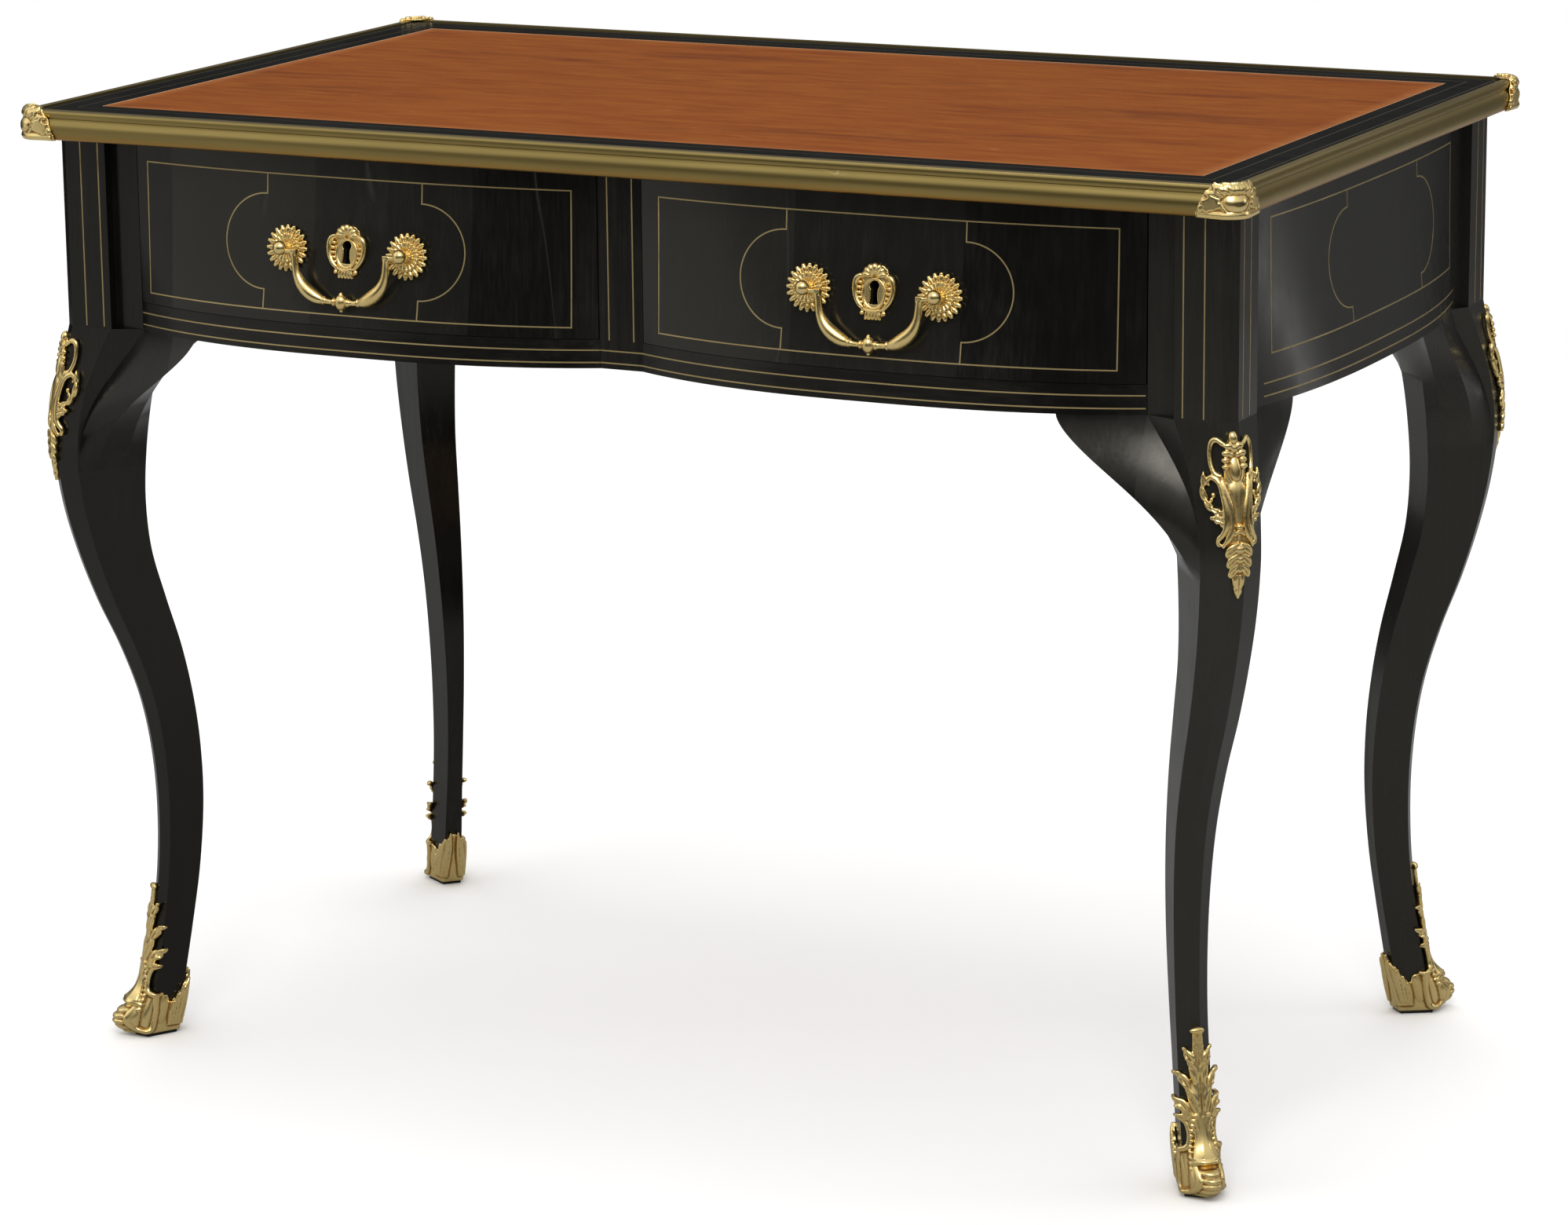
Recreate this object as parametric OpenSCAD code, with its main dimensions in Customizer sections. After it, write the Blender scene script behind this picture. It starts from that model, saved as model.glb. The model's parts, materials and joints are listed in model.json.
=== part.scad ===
// Ebonised writing table with a leather top, two bowed drawers, cabriole legs and gilt mounts.
// The front faces -Y, the right-hand end faces +X, and the origin is on the floor under the centre.
// Pieces are drawn for the right back quarter (+X, +Y) and mirrored to the others.

/* [Overall] */
// Height of the brass edge of the top above the floor
total_height = 770; // [720:5:800]
// Width of the top over its brass edge
top_width = 1026; // [960:2:1600]
// Depth of the top over its brass edge
top_depth = 617; // [560:1:800]

/* [Top] */
// Height of the brass moulding round the top
moulding_height = 23; // [18:0.5:30]
// How far the moulding stands out from the board that it is fixed to
moulding_reach = 10.5; // [8:0.5:14]
// Width of the black border between the moulding and the leather
border_width = 36.5; // [20:0.5:80]
// Thickness of the border
border_thickness = 5; // [4:0.5:7]
// Thickness of the leather and the lining under it
leather_thickness = 2.5; // [1:0.5:3.5]
// How far the leather lies below the face of the border
leather_drop = 0.4; // [0:0.1:1]
// How far the border lies below the top of the moulding
border_drop = 1; // [0.5:0.5:2]

/* [Frieze] */
// Height of the frieze below the top
frieze_height = 152.5; // [130:0.5:180]
// How far the top overhangs the corner posts at the ends
side_overhang = 15; // [12:1:40]
// How far the top overhangs the corner posts at the front and back
front_overhang = 29.5; // [20:0.5:50]
// Width of each face of the proud corner post
post_width = 46; // [40:1:60]
// Width of the bevel on the outer corner of the post
post_bevel = 13; // [8:1:18]
// How far the post stands out from the plain stile beside it
post_relief = 9; // [4:1:12]
// Width of the plain stile at the front of the post
front_stile_width = 24; // [15:1:40]
// Width of the plain stile at the side of the post
side_stile_width = 14; // [10:1:30]
// Width of the stile between the drawers
centre_stile_width = 37; // [28:1:50]
// Height of the rail under the drawers
rail_height = 22; // [18:1:30]
// Depth of the rail and of the centre stile at their flat ends
rail_depth = 32; // [28:1:40]
// Thickness of the drawer fronts and back panels at their flat ends
front_thickness = 20; // [18:1:26]
// Thickness of the side panels at their flat ends
side_thickness = 22; // [20:1:30]
// How far the front bows out at its bottom edge
front_bow = 38; // [10:1:45]
// How far the front bows out under the top
front_bow_top = 16; // [5:1:25]
// How far each end bows out at its bottom edge
side_bow = 21; // [5:1:28]
// How far each end bows out under the top
side_bow_top = 9; // [2:1:15]
// Sharpness of the ends of the bow, where 2 is a parabola
bow_power = 2.6; // [2:0.1:4]
// Length of the tenons on the rails
rail_tenon = 15; // [8:1:20]
// Length of the tenons on the side panels
side_tenon = 18; // [10:1:25]
// Thickness of the tenons
tenon_thickness = 10; // [6:1:12]

/* [Legs] */
// How far the knee swells out past the corner of the post
knee_swell = 16.5; // [8:0.5:24]
// How far the ankle is drawn in from the corner of the post
ankle_draw = 55; // [30:1:70]
// Depth of the knee along the diagonal of the table
knee_depth = 70; // [60:1:80]
// Depth of the ankle along the diagonal of the table
ankle_depth = 33; // [26:1:40]
// Width of the knee across the diagonal
knee_width = 48; // [42:1:56]
// Width of the ankle across the diagonal
ankle_width = 26; // [20:1:32]
// How far the brackets reach along the frieze from the posts
bracket_reach = 54; // [30:1:70]
// Height of the brackets
bracket_height = 74; // [50:1:90]
// Thickness of the brackets
bracket_thickness = 24; // [16:1:28]

/* [Drawers] */
// Gap between a drawer front and its opening at the ends
front_gap = 0.8; // [0.5:0.1:1.5]
// Gap between a drawer front and the top
top_gap = 1.2; // [0.8:0.1:2]
// Gap between a drawer and the runner under it
runner_gap = 0.4; // [0.3:0.1:1]
// Gap between a drawer side and the opening
side_gap = 1.5; // [1:0.1:3]
// Gap between a drawer side and its guide
guide_gap = 0.5; // [0.4:0.1:0.9]
// Thickness of the drawer sides
drawer_side_thickness = 11; // [8:1:14]
// Thickness of the drawer backs
drawer_back_thickness = 11; // [8:1:14]
// Length of the drawer sides from the front to the back
drawer_length = 440; // [300:5:450]
// Height of the drawer sides
drawer_side_height = 110; // [90:1:115]
// Thickness of the drawer bottoms
drawer_bottom_thickness = 6; // [5:0.5:8]
// Height of the groove for the bottom above the lower edge of the sides
groove_height = 5; // [4:0.5:8]
// Depth of the groove for the bottom
groove_depth = 5; // [3:0.5:6]
// Depth of the dovetails in the drawer fronts
dovetail_depth = 11; // [8:1:13]
// Number of dovetails at each corner of a drawer
dovetail_count = 3; // [2:1:4]
// Thickness of the runners
runner_thickness = 12; // [8:1:16]
// Width of the runner that carries each drawer side
runner_width = 16; // [14:1:22]
// Height of the guides above the runners
guide_height = 20; // [12:1:30]
// Width of the outer guides
guide_width = 18; // [12:1:30]
// Thickness of the board between the drawers
divider_thickness = 16; // [12:1:18]
// Depth of the tongue at each end of the board between the drawers
tongue_depth = 6; // [4:1:8]

/* [Locks] */
// Width of the lock case
lock_width = 62; // [50:1:80]
// Height of the lock case
lock_height = 92; // [88:1:100]
// Thickness of the lock case
lock_thickness = 12; // [11:1:14]
// Width of the bolt
bolt_width = 20; // [12:1:24]
// Thickness of the bolt
bolt_thickness = 7; // [5:0.5:8]
// Length of the bolt
bolt_length = 40; // [30:1:45]
// Travel of the bolt into the top
bolt_travel = 7; // [5:0.5:8]
// Clearance round the bolt in its case
bolt_gap = 0.3; // [0.2:0.1:0.5]
// Width of the round part of the keyhole
keyhole_size = 7.5; // [6:0.5:9]
// Height of the keyhole
keyhole_height = 17; // [14:0.5:20]

/* [Mounts] */
// Height of the handles and keyholes above the lower edge of the frieze
handle_height = 79; // [70:1:90]
// Distance between the two rosettes of a handle
rosette_spacing = 106; // [96:1:120]
// Width of a rosette over its petals
rosette_size = 36; // [28:1:42]
// Thickness of a rosette
rosette_thickness = 5; // [4:0.5:7]
// Number of petals of a rosette
petal_count = 18; // [12:1:24]
// Distance of the handle's pivot from the drawer front
pivot_reach = 13; // [12:0.5:18]
// Radius of the knob at the end of a handle
knob_radius = 6; // [5:0.5:7]
// Radius of the pins on which a handle turns
pin_radius = 2; // [1.5:0.1:2.5]
// Clearance round the pins
pin_gap = 0.05; // [0.02:0.01:0.1]
// Half the distance between the arms of a handle
bail_half_width = 41; // [36:0.5:43]
// How far a handle hangs below its pivot
bail_drop = 37; // [30:0.5:42]
// Radius of a handle at its swells
bail_swell = 4.6; // [3.5:0.1:5.5]
// Width of the keyhole plate
plate_width = 35; // [28:1:42]
// Height of the keyhole plate
plate_height = 43; // [36:1:50]
// Thickness of the keyhole plate
plate_thickness = 3; // [2:0.5:4]
// Length of the mount on each knee
chute_length = 124; // [90:1:140]
// Thickness of the mount on each knee along its spine
chute_thickness = 7; // [4:0.5:10]
// Height of the leaf on the front of each foot mount
sabot_height = 128; // [90:1:150]
// How far the toe of each foot mount stands out
toe_reach = 20; // [12:1:26]
// Thickness of the wooden pad under each foot mount
pad_height = 3; // [2:0.5:6]
// Reach of the corner mounts of the top along each edge
clasp_reach = 30; // [20:1:45]
// Thickness of the corner mounts of the top
clasp_thickness = 3; // [2:0.5:4]

/* [Hidden] */
ebony = "#1b1a17";
oak = "#a97b4b";
gilt = "#c99a3f";
brass = "#9d8546";
hide = "#9a5527";
steel = "#75736d";

CORNERS = ["front_left", "front_right", "back_left", "back_right"];
HANDS = ["left", "right"];

// A cut runs this far past the face that it opens, and joined solids overlap by this much.
past = 1;
// Mounts that lie on curved wood stand off it by this much.
seat = 0.15;
$fn = 48;

// Heights
under_top = total_height - moulding_height;
frieze_bottom = under_top - frieze_height;
rail_top = frieze_bottom + rail_height;
handle_z = frieze_bottom + handle_height;
border_top = total_height - border_drop;
border_bottom = border_top - border_thickness;
leather_top = border_top - leather_drop;
leather_bottom = leather_top - leather_thickness;

// Half sizes of the top
moulding_x = top_width / 2;
moulding_y = top_depth / 2;
board_x = moulding_x - moulding_reach;
board_y = moulding_y - moulding_reach;
leather_x = board_x - border_width;
leather_y = board_y - border_width;

// Faces of the posts and stiles
post_x = moulding_x - side_overhang;
post_y = moulding_y - front_overhang;
stile_x = post_x - post_relief;
stile_y = post_y - post_relief;
post_edge_x = post_x - post_width;
post_edge_y = post_y - post_width;
opening_x = post_edge_x - front_stile_width;
side_end_y = post_edge_y - side_stile_width;
stile_half = centre_stile_width / 2;
rail_inner_y = stile_y - rail_depth;
front_inner_y = stile_y - front_thickness;
side_inner_x = stile_x - side_thickness;
bevel_leg = post_bevel / sqrt(2);

// Drawers
drawer_x = (stile_half + opening_x) / 2;
half_opening = (opening_x - stile_half) / 2;
drawer_inner_x = stile_half + side_gap;
drawer_outer_x = opening_x - side_gap;
drawer_bottom_z = rail_top + runner_gap;
drawer_top_z = under_top - top_gap;
drawer_end_y = front_inner_y - drawer_length;
panel_z = drawer_bottom_z + groove_height;
panel_top_z = panel_z + drawer_bottom_thickness;
side_top_z = drawer_bottom_z + drawer_side_height;
back_top_drop = 5;
back_top_z = side_top_z - back_top_drop;
runner_z = rail_top - runner_thickness;
lock_face_y = front_inner_y + lock_thickness;
bolt_y = front_inner_y + lock_thickness / 2;

function mix(a, b, t) = a + (b - a) * t;
function unit(v) = v / norm(v);

// Share of the full bow at a place from -1 to 1 across a bowed stretch
function bow_share(u) = 1 - pow(min(1, abs(u)), bow_power);
function frieze_share(z) = pow(max(0, under_top - z) / frieze_height, 1.5);
function front_face(x, z) = stile_y
    + mix(front_bow_top, front_bow, frieze_share(z)) * bow_share((abs(x) - drawer_x) / half_opening);
function side_face(y, z) = stile_x
    + mix(side_bow_top, side_bow, frieze_share(z)) * bow_share(y / side_end_y);

// Solid through a list of rings with equally many points, each counterclockwise
// seen from the end of the list. A looped solid has no ends. A top that is dented
// is given as its convex parts, each a list of places in the ring.
module loft(rings, looped = false, top = undef) {
    count = len(rings[0]);
    last = len(rings) - 1;
    spans = looped ? last : last - 1;
    walls = [
        for (k = [0:spans], i = [0:count - 1])
            let (
                next = (k + 1) % (last + 1),
                a = k * count + i,
                b = next * count + i,
                c = next * count + (i + 1) % count,
                d = k * count + (i + 1) % count
            )
            each [[a, b, c], [a, c, d]]
    ];
    whole = [[for (i = [0:count - 1]) i]];
    ends = looped ? [] : concat(
        whole,
        [for (part = is_undef(top) ? whole : top) [for (i = [len(part) - 1:-1:0]) last * count + part[i]]]
    );
    polyhedron(points = [for (ring = rings) each ring], faces = concat(walls, ends), convexity = 6);
}

module box(low, high) {
    translate(low) cube(high - low);
}

// Copies for one corner or hand of the table from the right back quarter
module at_corner(corner) {
    left = corner == "front_left" || corner == "back_left";
    front = corner == "front_left" || corner == "front_right";
    mirror([left ? 1 : 0, 0, 0]) mirror([0, front ? 1 : 0, 0]) children();
}

module at_front(hand) {
    at_corner(str("front_", hand)) children();
}

module at_back(hand) {
    at_corner(str("back_", hand)) children();
}

// Bowed boards

front_steps = 24;
side_steps = 20;
height_steps = 6;

// Board with a flat back and the bowed face of the front, between two places and heights
module bowed_front(x_low, x_high, z_low, z_high, inner_y, steps_z = height_steps) {
    loft([
        for (i = [0:front_steps])
            let (x = mix(x_low, x_high, i / front_steps))
            concat(
                [[x, inner_y, z_low]],
                [for (k = [0:steps_z]) let (z = mix(z_low, z_high, k / steps_z)) [x, front_face(x, z), z]],
                [[x, inner_y, z_high]]
            )
    ]);
}

module bowed_side() {
    loft([
        for (i = [0:side_steps])
            let (y = mix(side_end_y, -side_end_y, i / side_steps))
            concat(
                [[side_inner_x, y, frieze_bottom]],
                [
                    for (k = [0:height_steps])
                        let (z = mix(frieze_bottom, under_top, k / height_steps))
                        [side_face(y, z), y, z]
                ],
                [[side_inner_x, y, under_top]]
            )
    ]);
}

// Tenons and the mortises that hold them
tenon_inset = 5;
tenon_setback = 12;
side_tenon_shoulder = 12;
mortise_gap = 1;

module rail_tenons(end_gap) {
    low_y = stile_y - tenon_setback - tenon_thickness;
    stub = stile_half - past - mortise_gap - divider_thickness / 4;
    box([opening_x - past, low_y, frieze_bottom + tenon_inset],
        [opening_x + rail_tenon + end_gap, low_y + tenon_thickness, rail_top - tenon_inset]);
    box([stile_half - stub - end_gap, low_y, frieze_bottom + tenon_inset],
        [stile_half + past, low_y + tenon_thickness, rail_top - tenon_inset]);
}

module side_tenons(end_gap) {
    low_x = side_inner_x + (side_thickness - tenon_thickness) / 2;
    reach = side_end_y + side_tenon + end_gap;
    for (way = [0, 1])
        mirror([0, way, 0])
            box([low_x, side_end_y - past, frieze_bottom + side_tenon_shoulder],
                [low_x + tenon_thickness, reach, under_top - side_tenon_shoulder]);
}

module rail() {
    color(ebony) {
        bowed_front(stile_half, opening_x, frieze_bottom, rail_top, rail_inner_y, steps_z = 2);
        rail_tenons(0);
    }
}

module centre_stile() {
    tongue = divider_thickness / 2;
    color(ebony)
        difference() {
            box([-stile_half, rail_inner_y, frieze_bottom], [stile_half, stile_y, under_top]);
            for (way = [0, 1])
                mirror([way, 0, 0]) rail_tenons(mortise_gap);
            box([-tongue / 2, rail_inner_y - past, rail_top],
                [tongue / 2, rail_inner_y + tongue_depth, under_top + past]);
        }
}

module back_panel() {
    color(ebony) bowed_front(stile_half, opening_x, rail_top, under_top, front_inner_y);
}

module side_panel() {
    color(ebony) {
        bowed_side();
        side_tenons(0);
    }
}

// Inside of the carcass

module centre_divider() {
    half = divider_thickness / 2;
    color(oak) {
        box([-half, -rail_inner_y, rail_top], [half, rail_inner_y, under_top]);
        box([-half / 2, -rail_inner_y - tongue_depth, rail_top],
            [half / 2, rail_inner_y + tongue_depth, under_top]);
    }
}

module centre_runner() {
    half = divider_thickness / 2;
    reach = drawer_inner_x + runner_width;
    color(oak) {
        box([-reach, -rail_inner_y, runner_z], [reach, rail_inner_y, rail_top]);
        for (way = [0, 1])
            mirror([way, 0, 0])
                box([half, -rail_inner_y, rail_top - past],
                    [drawer_inner_x - guide_gap, rail_inner_y, rail_top + guide_height]);
    }
}

module outer_runner() {
    guide_x = drawer_outer_x + guide_gap;
    color(oak) {
        box([drawer_outer_x - runner_width, -rail_inner_y, runner_z],
            [opening_x, rail_inner_y, rail_top]);
        box([opening_x - past, -side_end_y, runner_z], [side_inner_x, side_end_y, rail_top]);
        box([guide_x, -side_end_y, rail_top - past],
            [guide_x + guide_width, side_end_y, rail_top + guide_height]);
    }
}

// Legs

// Outline of the leg from the floor up, as [height, swell, depth, width]. The height is a share of
// the leg. Swell runs from -1 at the ankle over 0 at the post to 1 at the knee. Depth and width
// are shares of the way from the ankle's size to the knee's.
leg_stations = [
    [0.00, -0.52, 0.00, 0.10],
    [0.08, -0.70, -0.02, 0.06],
    [0.16, -0.86, -0.02, 0.00],
    [0.24, -0.97, 0.02, 0.00],
    [0.33, -1.00, 0.09, 0.08],
    [0.41, -0.94, 0.15, 0.20],
    [0.48, -0.80, 0.23, 0.32],
    [0.55, -0.55, 0.38, 0.46],
    [0.62, -0.23, 0.54, 0.63],
    [0.69, 0.10, 0.64, 0.77],
    [0.76, 0.72, 0.82, 0.90],
    [0.83, 1.00, 1.00, 1.00],
    [0.90, 0.84, 1.08, 1.12],
    [0.96, 0.35, 1.06, 1.42],
    [1.00, 0.00, 1.02, 1.77],
];
leg_steps = 36;
leg_centre = [post_x - bevel_leg / 2, post_y - bevel_leg / 2];
inner_bevel = 6;
knee_slope = 0.7;
knee_share = 0.83;
bevel_at_ankle = 3;
bracket_power = 2.2;

function station(h, i = 0) =
    i >= len(leg_stations) - 2 || h < leg_stations[i + 1][0] ? i : station(h, i + 1);
function station_rise(i, c) =
    let (low = max(0, i - 1), high = min(len(leg_stations) - 1, i + 1))
    (leg_stations[high][c] - leg_stations[low][c]) / (leg_stations[high][0] - leg_stations[low][0]);
// Smooth curve through one column of the outline
function outline(h, c) =
    let (
        i = station(h),
        from = leg_stations[i],
        to = leg_stations[i + 1],
        span = to[0] - from[0],
        t = (h - from[0]) / span
    )
    from[c] * (2 * t ^ 3 - 3 * t ^ 2 + 1) + to[c] * (3 * t ^ 2 - 2 * t ^ 3)
        + span * (station_rise(i, c) * (t ^ 3 - 2 * t ^ 2 + t) + station_rise(i + 1, c) * (t ^ 3 - t ^ 2));

// Place given by its distances outward along the diagonal and sideways across it
function on_leg(out, across) = leg_centre + [out + across, out - across] / sqrt(2);

// Section of the leg at a share of its height: side bracket, outer faces, front bracket, inner bevel
function leg_ring(h) =
    let (
        swell = outline(h, 1),
        out = swell > 0 ? knee_swell * swell : ankle_draw * swell,
        depth = mix(ankle_depth, knee_depth, outline(h, 2)),
        half = mix(ankle_width, knee_width, outline(h, 3)) / 2,
        rise = max(0, (h - knee_share) / (1 - knee_share)),
        slope = mix(knee_slope, 1, rise),
        bevel = mix(bevel_at_ankle, post_bevel / 2, h),
        shoulder = out - (half - bevel) * slope,
        flank = [for (way = [1, -1]) [
            on_leg(shoulder, way * half),
            on_leg(out - depth, way * (half - inner_bevel)),
        ]],
        fade = pow(max(0, 1 - (1 - h) * frieze_bottom / bracket_height), bracket_power),
        z = h * frieze_bottom,
        side_tip = side_end_y - bracket_reach,
        front_tip = opening_x - bracket_reach,
        side_mid = side_end_y - bracket_reach / 2,
        front_mid = opening_x - bracket_reach / 2,
        side_bracket = [
            [side_face(side_tip, z) - bracket_thickness, side_tip],
            [side_face(side_tip, z), side_tip],
            [side_face(side_mid, z), side_mid],
            [stile_x, side_end_y],
        ],
        front_bracket = [
            [opening_x, stile_y],
            [front_mid, front_face(front_mid, z)],
            [front_tip, front_face(front_tip, z)],
            [front_tip, front_face(front_tip, z) - bracket_thickness],
        ],
        side_root = [0.75, 0.35, 0.2, 0.08],
        front_root = [0.08, 0.2, 0.35, 0.75]
    )
    concat(
        [for (i = [0:3]) mix(mix(flank[0][0], flank[0][1], side_root[i]), side_bracket[i], fade)],
        [flank[0][0], on_leg(out, bevel), on_leg(out, -bevel), flank[1][0]],
        [for (i = [0:3]) mix(mix(flank[1][0], flank[1][1], front_root[i]), front_bracket[i], fade)],
        [flank[1][1], flank[0][1]]
    );

leg_rings = [for (k = [0:leg_steps]) leg_ring(k / leg_steps)];
// The top of the leg in three parts: side bracket, post and front bracket
leg_top = [[0, 1, 2, 3, 13], [3, 4, 5, 6, 7, 8, 12, 13], [8, 9, 10, 11, 12]];
ring_rise = frieze_bottom / leg_steps;
spine = 5.5;

// Place on the skin of the leg at a height, where s counts round the points of a ring
function skin(s, z) =
    let (
        k = min(leg_steps - 1, floor(z / ring_rise)),
        t = z / ring_rise - k,
        count = len(leg_rings[0]),
        i = floor(s),
        from = mix(leg_rings[k][i % count], leg_rings[k + 1][i % count], t),
        to = mix(leg_rings[k][(i + 1) % count], leg_rings[k + 1][(i + 1) % count], t)
    )
    mix(from, to, s - i);
function core(z) = mix(skin(spine, z), mix(skin(12, z), skin(13, z), 0.5), 0.5);
// The same place moved away from the middle of the leg
function off_skin(s, z, distance) =
    let (p = skin(s, z), q = p + unit(p - core(z)) * distance)
    [q.x, q.y, z];

module post_outline() {
    polygon([
        [opening_x, side_end_y],
        [stile_x, side_end_y],
        [stile_x, post_edge_y],
        [post_x, post_edge_y],
        [post_x, post_y - bevel_leg],
        [post_x - bevel_leg, post_y],
        [post_edge_x, post_y],
        [post_edge_x, stile_y],
        [opening_x, stile_y],
    ]);
}

module leg() {
    neck = post_width / 2;
    color(ebony)
        difference() {
            union() {
                loft([
                    for (k = [0:leg_steps])
                        [for (p = leg_rings[k]) [p.x, p.y, k * ring_rise]]
                ], top = leg_top);
                translate([0, 0, frieze_bottom])
                    linear_extrude(frieze_height) post_outline();
                translate([leg_centre.x - neck, leg_centre.y - neck, frieze_bottom])
                    cube([neck, neck, neck / 2], center = true);
            }
            rail_tenons(mortise_gap);
            side_tenons(mortise_gap);
        }
}

// Outline of the knee mount from its tip up, as [height, half width, thickness]. The half width
// counts points of the leg's section, where 0.5 is the bevel and 1.5 the whole of both faces.
chute_outline = [
    [0.00, 0.52, 0.35],
    [0.06, 0.72, 0.55],
    [0.14, 0.60, 0.50],
    [0.22, 0.80, 0.65],
    [0.34, 0.72, 0.70],
    [0.46, 1.00, 0.80],
    [0.56, 1.36, 0.95],
    [0.66, 1.42, 1.00],
    [0.74, 1.10, 0.85],
    [0.82, 1.22, 0.70],
    [0.90, 0.90, 0.60],
    [0.96, 0.66, 0.55],
    [1.00, 0.54, 0.35],
];
chute_top_gap = 6;
chute_edge = 2;

module chute() {
    foot = frieze_bottom - chute_top_gap - chute_length;
    color(gilt)
        loft([
            for (row = chute_outline)
                let (
                    z = foot + row[0] * chute_length,
                    wide = row[1],
                    places = [-wide, -(wide + 0.5) / 2, -0.5, 0, 0.5, (wide + 0.5) / 2, wide],
                    crown = mix(chute_edge, chute_thickness, row[2])
                )
                concat(
                    [for (s = places) off_skin(spine + s, z, mix(crown, chute_edge, abs(s) / wide))],
                    [for (i = [len(places) - 1:-1:0]) off_skin(spine + places[i], z, 2 * seat)]
                )
        ]);
}

// Foot mount: how high it climbs at each point of the leg's section, as a share of its leaf,
// and how much of the toe's reach each point takes
sabot_climb = [0.36, 0.3, 0.4, 0.3, 0.5, 1, 1, 0.5, 0.3, 0.4, 0.3, 0.36, 0.42, 0.42];
sabot_toe = [0.15, 0.15, 0.2, 0.25, 0.45, 1, 1, 0.45, 0.25, 0.2, 0.15, 0.15, 0.25, 0.25];
sabot_edge = 3;
sabot_rows = 10;
toe_height = 13;
toe_spread = 15;

module sabot() {
    color(gilt)
        loft([
            for (s = [0:len(sabot_climb) - 1])
                let (top = pad_height + (sabot_height - pad_height) * sabot_climb[s])
                concat(
                    [
                        for (k = [0:sabot_rows])
                            let (
                                z = mix(pad_height, top, k / sabot_rows),
                                toe = exp(-pow((z - toe_height) / toe_spread, 2))
                            )
                            off_skin(s, z, sabot_edge + toe_reach * sabot_toe[s] * toe)
                    ],
                    [
                        for (k = [sabot_rows:-1:0])
                            off_skin(s, mix(pad_height, top, k / sabot_rows), 2 * seat)
                    ]
                )
        ], looped = true);
}

// Top

// Moulding from its foot up, as [reach, height] shares: a swelling body and a small lip
moulding_profile = [
    [0.74, 0.00],
    [0.90, 0.06],
    [0.98, 0.18],
    [1.00, 0.30],
    [0.98, 0.44],
    [0.90, 0.58],
    [0.76, 0.70],
    [0.60, 0.78],
    [0.60, 0.82],
    [0.68, 0.88],
    [0.62, 0.96],
    [0.46, 1.00],
    [0.06, 1.00],
];

module moulding_outline(inner, extra = 0) {
    foot = -extra;
    rise = moulding_height + 2 * extra;
    polygon(concat(
        [[inner, foot]],
        [for (p = moulding_profile) [moulding_reach * p[0] + extra, foot + rise * p[1]]],
        [[inner, foot + rise]]
    ));
}

// Straight length of moulding along the +Y edge of a board with the given half sizes
module moulding_run(half_length, edge, inner = 0, extra = 0) {
    translate([-half_length, edge, under_top])
        rotate([90, 0, 90])
            linear_extrude(2 * half_length) moulding_outline(inner, extra);
}

// Moulding of one edge with mitred ends
module moulding(half_length, edge) {
    color(brass)
        intersection() {
            moulding_run(half_length, edge - moulding_reach);
            translate([0, 0, under_top - past])
                linear_extrude(moulding_height + 2 * past)
                    polygon([
                        [half_length, edge],
                        [-half_length, edge],
                        [moulding_reach - half_length, edge - moulding_reach],
                        [half_length - moulding_reach, edge - moulding_reach],
                    ]);
        }
}

// Shell that folds over the corner of the moulding
module clasp() {
    inner = -clasp_thickness;
    color(gilt)
        intersection() {
            difference() {
                corner_mass(clasp_thickness);
                corner_mass(0);
                box([0, 0, under_top - 2 * clasp_thickness],
                    [board_x + inner, board_y + inner, total_height + 2 * clasp_thickness]);
            }
            translate([moulding_x - clasp_reach, moulding_y - clasp_reach, under_top - 2 * clasp_thickness])
                linear_extrude(moulding_height + 4 * clasp_thickness)
                    polygon([
                        [0, 2 * clasp_reach],
                        [2 * clasp_reach, 2 * clasp_reach],
                        [2 * clasp_reach, 0],
                        [clasp_reach, 0],
                        [0, clasp_reach],
                    ]);
        }
}

// Corner of the top filled out to the moulding's outline, which is grown by a thickness
module corner_mass(extra) {
    intersection() {
        moulding_run(moulding_x + extra, board_y, -board_y / 2, extra);
        mirror([1, -1, 0]) moulding_run(moulding_y + extra, board_x, -board_x / 2, extra);
    }
}

module top_board() {
    mortise_x = bolt_width / 2 + mortise_gap;
    mortise_y = bolt_thickness / 2 + mortise_gap;
    color(oak)
        difference() {
            union() {
                box([-board_x, -board_y, under_top], [board_x, board_y, border_bottom]);
                box([-leather_x, -leather_y, under_top], [leather_x, leather_y, leather_bottom]);
            }
            for (hand = HANDS)
                at_front(hand)
                    box([drawer_x - mortise_x, bolt_y - mortise_y, under_top - past],
                        [drawer_x + mortise_x, bolt_y + mortise_y, under_top + bolt_travel + mortise_gap]);
        }
}

module border() {
    color(ebony)
        difference() {
            box([-board_x, -board_y, border_bottom], [board_x, board_y, border_top]);
            box([-leather_x, -leather_y, border_bottom - past], [leather_x, leather_y, border_top + past]);
        }
}

module leather() {
    color(hide)
        box([-leather_x, -leather_y, leather_bottom], [leather_x, leather_y, leather_top]);
}

// Drawers

dovetail_flare = 3;
dovetail_share = 0.62;

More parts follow.
